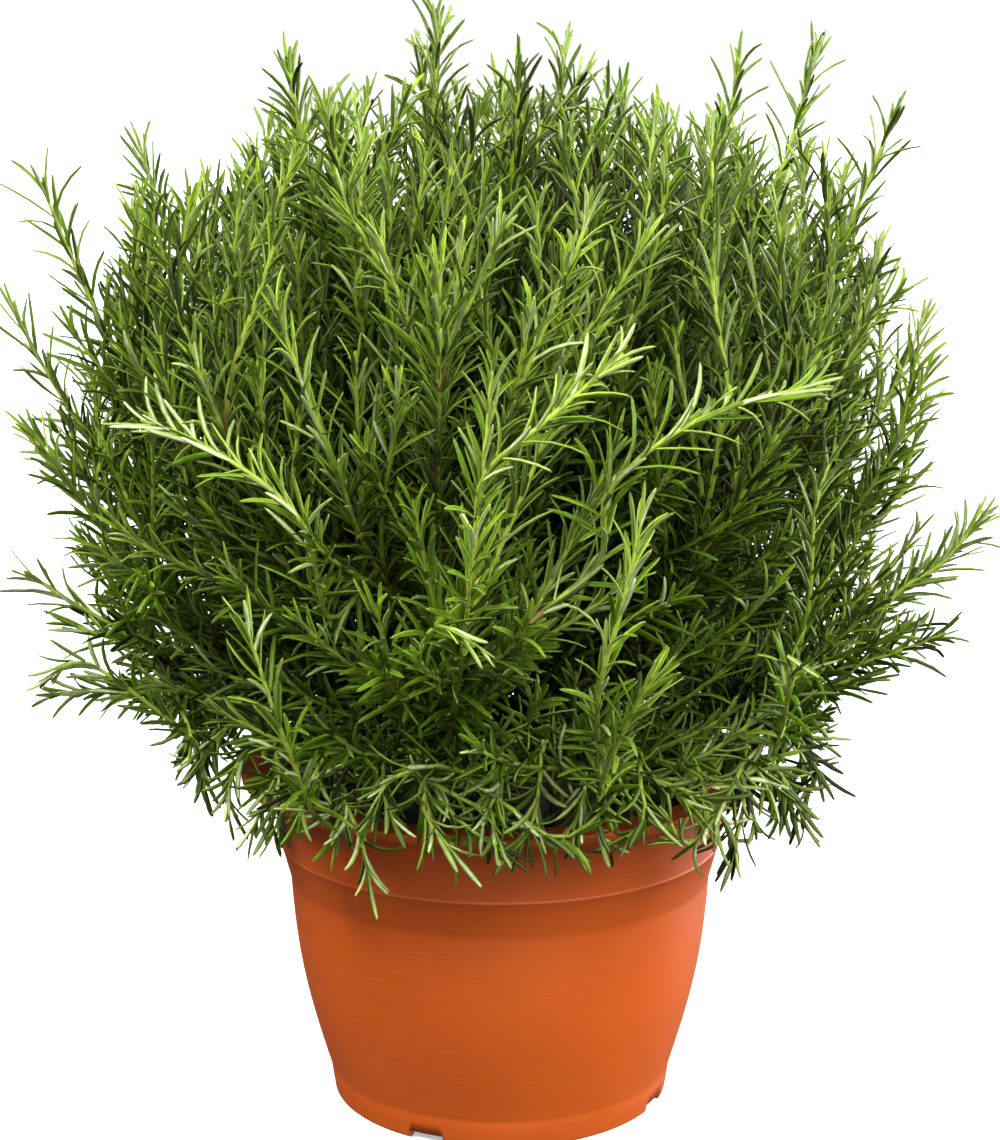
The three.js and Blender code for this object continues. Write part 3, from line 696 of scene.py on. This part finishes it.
def leaf_rows(shoot, rng):
    """The leaves of one shoot: opposite pairs, each pair across the one below, and small ones beside some."""
    path = shoot["path"]
    end = shoot["to"] * path.length
    places = pair_places(shoot, end, rng)
    pairs = len(places)
    turn = np.arange(pairs) * math.pi / 2 + rng.uniform(0, math.pi) + rng.normal(0, PAIR_TURN_VARIES, pairs)
    at = np.tile(places, 4)
    turn = np.concatenate([turn + more for more in (0, math.pi, SMALL_TURN, math.pi + SMALL_TURN)])
    small = np.repeat([0.0, 0.0, 1.0, 1.0], pairs)
    keep = (small == 0) | (rng.uniform(0, 1, len(at)) < shoot["axillary"])
    at, small = at[keep], small[keep]
    n = len(at)
    turn = turn[keep] + rng.normal(0, LEAF_TURN_VARIES, n)
    point, way, side, front = frames_along(path, at / path.length)
    out = side * np.cos(turn)[:, None] + front * np.sin(turn)[:, None]
    fresh = 1 - smoothstep(end - at, 0, FRESH_END)
    old = smoothstep(end - at, *OLD_FROM)

    def scatter(name):
        return rng.normal(0, LEAF_VARIES[name], n)

    length = mix(*LEAF_LENGTH, fresh**SHORT_AT_TIP) * (1 - SMALL_SHORTER * small) * (1 + scatter("length"))
    opening = np.radians(mix(*LEAF_OPENING, fresh) + OLD_OPENING * old - SMALL_CLOSER * small)
    opening = opening * (1 + scatter("opening"))
    arch = scatter("arch") + mix(*LEAF_ARCH, fresh) + shoot["droop"] * (1 - fresh)
    sway = scatter("sway")
    half_width = LEAF_HALF_WIDTH * (1 - NEW_NARROWER * fresh) * (1 - SMALL_NARROWER * small)
    half_width = half_width * (1 + scatter("width"))
    return {
        "root": point + out * LEAF_ROOT_R,
        "stem": way,
        "out": out,
        "side": np.cross(way, out),
        "open": opening,
        "arch": np.radians(arch),
        "sway": sway,
        "length": length * shoot["vigour"],
        "half_width": half_width * shoot["broad"],
        "roll": scatter("roll") + (rng.uniform(0, 1, n) < shoot["turned"]) * scatter("turned"),
        "twist": scatter("twist"),
        "tone": np.clip(shoot["tone"] + scatter("tone"), 0, 1),
        "youth": np.clip(shoot["youth"] * mix(*LEAF_YOUTH, fresh) + scatter("youth"), 0, 1),
    }


def inside_box(leaves):
    """Leaves that would stand out of the solids' box are shortened, and too short ones dropped."""
    angle = leaves["open"] + leaves["arch"] / 2
    way = leaves["stem"] * np.cos(angle)[:, None] + leaves["out"] * np.sin(angle)[:, None]
    to_high = (np.array(CAD_HIGH) - leaves["root"]) / np.maximum(way, 1e-6)
    to_low = (np.array(CAD_LOW) - leaves["root"]) / np.minimum(way, -1e-6)
    room = np.maximum(np.where(way > 0, to_high, to_low).min(1) - BOX_ROOM, 0)
    leaves["length"] = np.minimum(leaves["length"], room)
    tip = leaves["root"] + way * leaves["length"][:, None]
    keep = (leaves["length"] > LEAST_LEAF) & clear_of_pot(leaves["root"]) & clear_of_pot(tip)
    keep &= clear_of_pot((leaves["root"] + tip) / 2)
    return {key: values[keep] for key, values in leaves.items()}


def clear_of_pot(points):
    r = np.hypot(points[..., 0], points[..., 1])
    over_soil = points[..., 2] > SOIL_TOP + SOIL_MOUND / 2
    inside = (r < BAND_LOW_R - WALL - WALL_ROOM) & over_soil
    return inside | (r > RIM_R + POT_ROOM) | (points[..., 2] > RIM_TOP + POT_ROOM)


# ---- Shoots ----
def new_shoot(path, vigour, pale=0.0):
    """A shoot with a side shoot's short brown foot. Vigour scales its leaves, and pale lightens them."""
    return {
        "path": path,
        "vigour": vigour,
        "pale": pale,
        "from": 0.0,
        "bare": 7 * MM,
        "radii": (LATERAL_BASE_R, STEM_TIP_R),
        "bark_to": 20 * MM,
        "axillary": 0.25,
    }


def round_shoots(path, green_from, rng):
    """Further side shoots, spread round a main stem."""
    turn = rng.uniform(0, 2 * math.pi)
    shoots = []
    for i in range(SIDE_SHOOTS):
        at = mix(SIDE_FIRST, SIDE_LAST, (i + rng.uniform(0, 1)) / SIDE_SHOOTS)
        share = mix(green_from, 1, at)
        turn += GOLDEN_ANGLE
        point, way, side, front = [rows[0] for rows in frames_along(path, np.array([share]))]
        across = side * math.cos(turn) + front * math.sin(turn)
        reach = min(SIDE_SHARE * path.length * (1 - share), SIDE_LONGEST) * rng.uniform(*SIDE_REACH_VARIES)
        end = point + reach * unit(way + across * SIDE_SPREAD + UP * SIDE_RISE)
        end_way = unit(way + across * SIDE_END_SPREAD + UP * SIDE_UPTURN)
        shoots.append(new_shoot(bend(point, unit(way + across), end, end_way), rng.uniform(*SIDE_VIGOUR)))
    return shoots


def finish_shoot(shoot, tone, rng):
    """Sets what a shoot's leaves go by. Low growth is older, looser, broader and more curled."""
    high = float(smoothstep(shoot["path"].points[-1][2], *LOW_TO_HIGH))
    growth = {name: mix(*ends, high) for name, ends in GROWTH.items()}
    shoot["tone"] = np.clip(tone + shoot["pale"] + rng.normal(0, SHOOT_TONE_VARIES), 0, 1)
    shoot["droop"] = growth["droop"]
    shoot["youth"] = rng.uniform(*SHOOT_YOUTH) * growth["youth"]
    shoot["turned"] = growth["turned"] + shoot["pale"]
    shoot["sparse"] = growth["sparse"]
    shoot["axillary"] *= growth["axillary"]
    shoot["broad"] = shoot["vigour"] ** 0.5 * growth["broad"]
    shoot["vigour"] *= growth["vigour"]
    shoot["to"] = 1 - TIP_LEAVES / shoot["path"].length


def spray_shoots(plan, further, rng):
    """The main stem, the two side shoots that the solid has, and the further ones that have room."""
    path = plan["path"]
    green_from = (WOOD_ARM_LENGTH + CLEAR) / path.length
    tone = rng.uniform(*SPRAY_TONE)
    main = new_shoot(path, rng.uniform(*MAIN_VIGOUR)) | {
        "from": green_from,
        "bare": 1 * MM,
        "radii": (STEM_BASE_R, STEM_TIP_R),
        "bark_to": 90 * MM,
        "axillary": 0.5,
    }
    shoots = [new_shoot(lateral_path(plan, at, side), 1.0) for at, side in LATERALS]
    shoots += round_shoots(path, green_from, rng) + further
    for shoot in [main, *shoots]:
        finish_shoot(shoot, tone, rng)
    long = [shoot for shoot in shoots if shoot["path"].length > SIDE_SHORTEST]
    return [main] + [shoot for shoot in long if clear_of_pot(shoot["path"].points).all()]


def infill_tips(count, nearest, farthest, low_share, rng):
    """Tips spread over the crown, at a share of its size between nearest and farthest."""
    turn = rng.uniform(0, 2 * math.pi)
    tips = []
    for i in range(count):
        tip = crown_place(i, count, INFILL_REACH, rng.uniform(nearest, farthest), turn)
        if rng.uniform(0, 1) < mix(low_share, 1, smoothstep(tip[2], *INFILL_THINNED)):
            tips.append(tip)
    return tips


def plan_infill(stems, rng):
    """For each further tip, the stem that best leads to it and the path from there, listed by stem."""
    shares = np.linspace(*INFILL_STARTS)
    starts = np.concatenate([path.point(shares) for _, path in stems])
    ways = np.concatenate([path.way(shares) for _, path in stems])
    owners = [owner for owner, path in stems for share in shares]
    used = np.zeros(len(starts))
    grown = {}
    for tip in [tip for layer in INFILL for tip in infill_tips(*layer, rng)]:
        gap = tip - starts
        far = np.linalg.norm(gap, axis=1)
        angle = np.arccos(np.clip((unit(gap) * ways).sum(1), -1, 1))
        cost = ((far - INFILL_LENGTH) / INFILL_SPREAD) ** 2 + (angle / INFILL_ANGLE) ** 2 + used
        best = int(np.argmin(cost))
        beside = np.linalg.norm(starts - starts[best], axis=1)
        used += np.exp(-((beside / CROWDING_R) ** 2)) * CROWDING
        toward = unit(gap[best])
        outward = unit(tip * (1, 1, 0))
        hanging = 1 - float(smoothstep(tip[2], *INFILL_HANGS))
        end_way = unit(toward + outward * mix(*INFILL_OUTWARD, hanging) + UP * mix(*INFILL_UPWARD, hanging))
        start_way = unit(ways[best] + toward * INFILL_TOWARD + UP * INFILL_LIFT * hanging)
        shoot = new_shoot(bend(starts[best], start_way, tip, end_way), rng.uniform(*INFILL_VIGOUR))
        grown.setdefault(owners[best], []).append(shoot)
    return grown


def skirt_places(rng):
    """The places of the shoots that hang over the brim all round."""
    rows = []
    for i in range(SKIRT_COUNT):
        turn = 2 * math.pi * (i + rng.uniform(0, 1)) / SKIRT_COUNT
        drift = rng.normal(0, SKIRT_DRIFT)
        places = []
        for k, (r, z) in enumerate(SKIRT):
            places.append(ring_point(r, turn + k * drift, z) + rng.normal(0, SKIRT_VARIES * k / 3, 3))
        rows.append(places)
    return rows


def nearest_point(path, place):
    points = path.point(np.linspace(*PLACED_STARTS))
    return points[np.argmin(np.linalg.norm(points - place, axis=1))]


def add_placed(grown, stems, rows, pale):
    """Adds to grown the shoots that run through given places, each from the nearest stem."""
    for places in rows:
        starts = [nearest_point(path, places[0]) for _, path in stems]
        gaps = [np.linalg.norm(start - places[0]) for start in starts]
        best = int(np.argmin(gaps))
        if gaps[best] > PLACED_JOIN:
            places = [starts[best], *places]
        grown.setdefault(stems[best][0], []).append(new_shoot(through(places), 1.0, pale))


def make_spray(index, plan, further, material):
    """One leafy spray: a main stem with all its shoots and their leaves."""
    rng = np.random.RandomState(SPRAY_SEED + index)
    shoots = spray_shoots(plan, further, rng)
    rows = [inside_box(leaf_rows(shoot, rng)) for shoot in shoots]
    leaves = {key: np.concatenate([row[key] for row in rows]) for key in rows[0]}
    build = Build(len(shoots) + len(leaves["root"]))
    add_leaves(build, leaves, len(shoots))
    for cell, shoot in enumerate(shoots):
        add_stem(build, shoot, cell)
    name = f"leafy_spray_{index + 1:02d}"
    dress(linked(build.mesh(name + "_fine"), material), "leaf_green", name)


# ---- Materials ----
class Look:
    """A material. What its methods return are sockets, and what they take are sockets or plain values."""

    def __init__(self, name, **constants):
        self.material = bpy.data.materials.new(name)
        self.material.use_nodes = True
        self.shader = self.material.node_tree.nodes["Principled BSDF"]
        self.fill(self.shader, **constants)

    def fill(self, made, **values):
        """Links or sets a node's inputs by their names."""
        for name, value in values.items():
            self.plug(value, made.inputs[name.replace("_", " ")])

    def plug(self, value, socket):
        if isinstance(value, bpy.types.NodeSocket):
            self.material.node_tree.links.new(value, socket)
        else:
            socket.default_value = value

    def node(self, kind, **settings):
        made = self.material.node_tree.nodes.new(kind)
        for key, value in settings.items():
            setattr(made, key, value)
        return made

    def number(self, name):
        """What the mesh's points hold under this name."""
        return self.node("ShaderNodeAttribute", attribute_name=name).outputs["Fac"]

    def noise(self, scale, detail=2, stretch=(1, 1, 1)):
        mapping, made = self.node("ShaderNodeMapping"), self.node("ShaderNodeTexNoise")
        self.fill(mapping, Vector=self.node("ShaderNodeTexCoord").outputs["Object"], Scale=stretch)
        self.fill(made, Vector=mapping.outputs[0], Scale=scale, Detail=detail)
        return made.outputs["Fac"]

    def ramp(self, factor, stops):
        made = self.node("ShaderNodeValToRGB")
        elements = made.color_ramp.elements
        while len(elements) < len(stops):
            elements.new(0.5)
        for element, (position, colour) in zip(elements, stops):
            element.position = position
            element.color = (*colour, 1.0)
        self.plug(factor, made.inputs[0])
        return made.outputs[0]

    def mix(self, factor, a, b, blend="MIX"):
        made = self.node("ShaderNodeMix", data_type="RGBA", blend_type=blend)
        for value, slot in ((factor, 0), (a, 6), (b, 7)):
            self.plug(value, made.inputs[slot])
        return made.outputs[2]

    def times(self, a, b):
        return self.mix(1.0, a, b, "MULTIPLY")

    def over(self, value, least):
        """1 where the value is over the least one, and 0 elsewhere."""
        made = self.node("ShaderNodeMath", operation="GREATER_THAN")
        self.plug(value, made.inputs[0])
        self.plug(least, made.inputs[1])
        return made.outputs[0]

    def rough(self, factor, low, high):
        made = self.node("ShaderNodeMapRange")
        self.fill(made, Value=factor, To_Min=low, To_Max=high)
        self.fill(self.shader, Roughness=made.outputs[0])

    def bump(self, height, strength, distance):
        made = self.node("ShaderNodeBump")
        self.fill(made, Height=height, Strength=strength, Distance=distance)
        self.fill(self.shader, Normal=made.outputs[0])


def leaf_material():
    """Green needles with pale undersides, and the stems between them."""
    look = Look("rosemary_leaf", Specular_IOR_Level=0.3, Specular_Tint=(1, 1, 0.45, 1))
    tone, youth, under, margin = map(look.number, ("tone", "youth", "under", "margin"))
    along, woody, depth = map(look.number, ("along", "woody", "depth"))
    top = look.mix(youth, look.ramp(tone, OLD_TOP), look.ramp(tone, YOUNG_TOP))
    top = look.times(top, look.ramp(along, ROOT_TO_TIP))
    # Painted highlight along the leaves' top margins.
    top = look.times(top, look.ramp(margin, TOP_MARGIN_HIGHLIGHT))
    below = look.times(look.ramp(tone, UNDERSIDE), look.ramp(margin, ROLLED_MARGIN))
    leaf = look.mix(under, top, below)
    colour = look.mix(look.over(woody, least=0.05), leaf, look.ramp(woody, GREEN_TO_BROWN))
    # Painted shade: darker deeper in the crown and in the low growth.
    colour = look.times(colour, look.ramp(depth, CROWN_SHADE))
    colour = look.times(colour, look.ramp(look.noise(scale=260, detail=3), LEAF_MOTTLE))
    look.fill(look.shader, Base_Color=colour)
    look.rough(under, low=0.34, high=0.8)
    look.bump(look.noise(scale=1400), strength=0.25, distance=0.1 * MM)
    return look.material


def pot_material():
    """Satin moulded plastic: a little mottled, with fine marks round it and a few specks."""
    look = Look("terracotta_plastic", Specular_IOR_Level=0.5)
    marks = look.noise(scale=30, detail=4, stretch=(1, 1, 28))
    colour = look.times(look.ramp(look.noise(scale=9, detail=3), PLASTIC), look.ramp(marks, MOULD_MARKS))
    colour = look.times(colour, look.ramp(look.noise(scale=420, detail=1), SPECKS))
    look.fill(look.shader, Base_Color=colour)
    look.rough(marks, low=0.5, high=0.6)
    look.bump(marks, strength=0.3, distance=0.12 * MM)
    return look.material


def earth_material():
    look = Look("potting_mix", Roughness=0.95)
    grain = look.noise(scale=240, detail=5)
    look.fill(look.shader, Base_Color=look.ramp(grain, EARTH))
    look.bump(grain, strength=0.8, distance=1.2 * MM)
    return look.material


def bark_material():
    look = Look("rosemary_bark", Roughness=0.9)
    cracks = look.noise(scale=520, detail=5, stretch=(1, 1, 0.22))
    look.fill(look.shader, Base_Color=look.ramp(cracks, BARK))
    look.bump(cracks, strength=0.9, distance=0.6 * MM)
    return look.material


# ---- Pot, soil and wood ----
def body_wall(inset, steps):
    t = np.linspace(0, 1, steps + 1)
    r = mix(BODY_LOW_R, BODY_TOP_R, t) + BODY_BULGE * np.sin(math.pi * t) - inset
    return list(zip(r, mix(BODY_LOW_Z, BODY_TOP_Z, t)))


def rounded(profile, radius):
    """A profile with its corners eased by up to radius, never by more than a third of the next side."""
    points = [np.array(p) for p in profile]
    out = [points[0]]
    for before, corner, after in zip(points, points[1:], points[2:]):
        a, b = before - corner, after - corner
        reach = min(radius, np.linalg.norm(a) / 3, np.linalg.norm(b) / 3)
        a, b = corner + unit(a) * reach, corner + unit(b) * reach
        out += [mix(mix(a, corner, t), mix(corner, b, t), t) for t in CORNER_STEPS]
    return out + [points[-1]]


def lathe(name, profile):
    """A closed solid of revolution. The profile starts and ends on the axis."""
    turn = np.arange(POT_SEGMENTS) * 2 * math.pi / POT_SEGMENTS
    rings = np.array(profile[1:-1])
    x, y = rings[:, :1] * np.cos(turn), rings[:, :1] * np.sin(turn)
    points = np.stack([x, y, np.repeat(rings[:, 1:], POT_SEGMENTS, 1)], -1).reshape(-1, 3)
    points = np.concatenate([points, [(0, 0, profile[0][1]), (0, 0, profile[-1][1])]])
    faces = tube_faces(POT_SEGMENTS, range(len(rings)))[0].tolist()
    j = np.arange(POT_SEGMENTS)
    n = (j + 1) % POT_SEGMENTS
    top = (len(rings) - 1) * POT_SEGMENTS
    faces += np.stack([n, j, np.full(POT_SEGMENTS, len(points) - 2)], 1).tolist()
    faces += np.stack([top + j, top + n, np.full(POT_SEGMENTS, len(points) - 1)], 1).tolist()
    mesh = bpy.data.meshes.new(name)
    mesh.from_pydata(points.tolist(), [], faces)
    mesh.shade_smooth()
    return mesh


def cut(piece, cutter):
    boolean = piece.modifiers.new("cut", "BOOLEAN")
    boolean.operation, boolean.solver, boolean.object = "DIFFERENCE", "EXACT", cutter
    bpy.context.view_layer.update()
    evaluated = piece.evaluated_get(bpy.context.evaluated_depsgraph_get())
    piece.data = bpy.data.meshes.new_from_object(evaluated)
    piece.modifiers.clear()
    bpy.data.objects.remove(cutter)


def drain(place):
    """A pin for cutting a drain hole."""
    bpy.ops.mesh.primitive_cylinder_add(vertices=DRAIN_SIDES, radius=DRAIN_R, depth=4 * WALL, location=place)
    hole = bpy.context.object
    hole.data.transform(hole.matrix_world)
    hole.matrix_world = Matrix()
    return hole


def notch(turn):
    """A block for cutting a notch into the foot ring."""
    bpy.ops.mesh.primitive_cube_add(size=1)
    block = bpy.context.object
    block.data.transform(Matrix.Diagonal((4 * FOOT_WIDTH, NOTCH_WIDTH, 2 * NOTCH_HEIGHT, 1)))
    block.data.transform(Matrix.Translation((FOOT_R, 0, 0)))
    block.data.transform(Matrix.Rotation(turn, 4, "Z"))
    return block


def make_pot():
    floor_top = FLOOR_Z + WALL
    brim_low = RIM_TOP - RIM_EDGE
    inner = body_wall(WALL, BODY_STEPS)
    inner[0] = (inner[0][0], floor_top)
    profile = [
        (0, FLOOR_Z),
        (FOOT_R - FOOT_WIDTH - EDGE_EASE, FLOOR_Z),
        (FOOT_R - FOOT_WIDTH, 0),
        (FOOT_R, 0),
        (BODY_LOW_R - FOOT_EASE_INWARD, BODY_LOW_Z - FOOT_EASE_DOWN),
        *body_wall(0, BODY_STEPS)[:-1],
        (BAND_LOW_R - BAND_STEP_INWARD, BAND_LOW_Z - BAND_STEP_DOWN),
        (BAND_LOW_R, BAND_LOW_Z - EDGE_EASE),
        (BAND_LOW_R + RIDGE, BAND_LOW_Z),
        (BAND_LOW_R + RIDGE_FOOT, BAND_LOW_Z + EDGE_EASE),
        (BAND_TOP_R, RIM_TOP - WALL),
        (RIM_R - WALL, RIM_TOP - WALL),
        (RIM_R - WALL, brim_low),
        (RIM_R, brim_low),
        (RIM_R, RIM_TOP - EDGE_EASE),
        (RIM_R - EDGE_EASE, RIM_TOP),
        (BAND_TOP_R - THROAT_EASE, RIM_TOP),
        (BAND_TOP_R - WALL, RIM_TOP - WALL),
        (BAND_LOW_R - WALL, BAND_LOW_Z + EDGE_EASE),
        *inner[::-1],
        (0, floor_top),
    ]
    pot = linked(lathe("pot_fine", rounded(profile, CORNER_EASE)), pot_material())
    for i in range(NOTCH_COUNT):
        turn = -math.pi / 2 + NOTCH_TURN + i * 2 * math.pi / NOTCH_COUNT
        cut(pot, notch(turn))
        cut(pot, drain(ring_point(DRAIN_RING_R, turn, FLOOR_Z)))
    cut(pot, drain((0, 0, FLOOR_Z)))
    dress(pot, "pot_plastic", "pot")


def make_soil(rng):
    inset = WALL + CLEAR
    wall = body_wall(inset, SOIL_BODY_STEPS)
    wall[0] = (wall[0][0], FLOOR_Z + inset)
    edge = BAND_LOW_R - inset
    t = np.linspace(1, 0, SOIL_RINGS)[1:]
    mound = list(zip(edge * t, SOIL_TOP + SOIL_MOUND * (1 - t**2)))
    profile = [(0, FLOOR_Z + inset), *wall, (edge, BAND_LOW_Z + EDGE_EASE), (edge, SOIL_TOP), *mound]
    mesh = lathe("soil_fine", profile)
    points = np.zeros(len(mesh.vertices) * 3)
    mesh.vertices.foreach_get("co", points)
    points = points.reshape(-1, 3)
    r = np.hypot(points[:, 0], points[:, 1])
    loose = (points[:, 2] >= SOIL_TOP) & (r < edge - EDGE_EASE)
    points[loose, 2] += rng.uniform(-CRUMB_HIGH, CRUMB_HIGH, loose.sum())
    points[loose, :2] += rng.uniform(-CRUMB_ASIDE, CRUMB_ASIDE, (loose.sum(), 2))
    mesh.vertices.foreach_set("co", points.ravel())
    mesh.update()
    dress(linked(mesh, earth_material()), "potting_mix", "soil")


def make_wood(index, root, plans, material, rng):
    """A rooted woody stem with the brown foot of each main stem that it carries."""
    top = root + UP * (SOIL_TOP + FORK_HEIGHT + FORK_LAP)
    limbs = [(bend(root + UP * (SOIL_TOP - ROOTED_DEPTH), UP, top, UP), 1.0, (WOOD_R, WOOD_TOP_R))]
    for path in [plan["path"] for plan in plans]:
        limbs.append((path, WOOD_ARM_LENGTH / path.length, (WOOD_ARM_BASE_R, STEM_BASE_R)))
    build = Build(len(limbs))
    for cell, (path, end, radii) in enumerate(limbs):
        limb = {"path": path, "from": 0.0, "to": end, "radii": radii, "tone": 0, "youth": 0, "bark_to": 1}
        add_stem(build, limb, cell, WOOD_SIDES, WOOD_STEP, rng)
    name = f"woody_stem_{index + 1:02d}"
    dress(linked(build.mesh(name + "_fine"), material), "bark", name)


# ---- Stage ----
def make_camera():
    camera = linked(bpy.data.cameras.new("camera"))
    camera.location = CAMERA_PLACE
    camera.rotation_euler = (math.pi / 2 - CAMERA_PITCH, 0, 0)
    camera.data.lens = CAMERA_LENS
    camera.data.sensor_width = CAMERA_SENSOR
    camera.data.clip_start = CAMERA_NEAREST
    bpy.context.scene.camera = camera


def make_floor():
    bpy.ops.mesh.primitive_plane_add(size=FLOOR_SIZE)
    floor = bpy.context.object
    floor.name = "floor"
    grey = (0.75, 0.75, 0.75, 1)
    look = Look("pale_floor", Base_Color=grey, Roughness=0.9, Emission_Color=WHITE, Emission_Strength=0.35)
    floor.data.materials.append(look.material)
    floor.visible_diffuse = floor.visible_glossy = False


def make_backdrop():
    """A white dome that only the camera sees, so that it adds no light of its own."""
    bpy.ops.mesh.primitive_uv_sphere_add(segments=48, ring_count=24, radius=BACKDROP_R)
    dome = bpy.context.object
    dome.name = "backdrop"
    look = Look("white_backdrop", Base_Color=(0, 0, 0, 1), Emission_Color=WHITE, Emission_Strength=1)
    dome.data.materials.append(look.material)
    dome.visible_diffuse = dome.visible_glossy = dome.visible_transmission = dome.visible_shadow = False


def make_light():
    world = bpy.data.worlds.new("studio")
    bpy.context.scene.world = world
    world.use_nodes = True
    background = world.node_tree.nodes["Background"]
    background.inputs["Color"].default_value = WHITE
    background.inputs["Strength"].default_value = WORLD_LIGHT
    for name, place, strength, degrees in SUNS:
        light = bpy.data.lights.new(name, "SUN")
        light.energy = strength
        light.angle = math.radians(degrees)
        lamp = linked(light)
        lamp.location = place
        lamp.rotation_euler = (-Vector(place)).to_track_quat("-Z", "Y").to_euler()
    bpy.context.scene.view_settings.view_transform = "Standard"


make_camera()
make_floor()
make_backdrop()
make_light()
roots = stem_roots()
plans = plan_sprays(roots)
stems = [(i, plan["path"]) for i, plan in enumerate(plans)]
stems += [(i, lateral_path(plan, *lateral)) for i, plan in enumerate(plans) for lateral in LATERALS]
rng = np.random.RandomState(GROWTH_SEED)
further = plan_infill(stems, rng)
add_placed(further, stems, np.array(FOREMOST + TRAILING) * MM, PLACED_PALE)
add_placed(further, stems, skirt_places(rng), 0.0)
green = leaf_material()
for i, plan in enumerate(plans):
    make_spray(i, plan, further.get(i, []), green)
brown = bark_material()
for i, root in enumerate(roots):
    make_wood(i, root, [plan for plan in plans if plan["wood"] == i], brown, rng)
make_soil(rng)
make_pot()
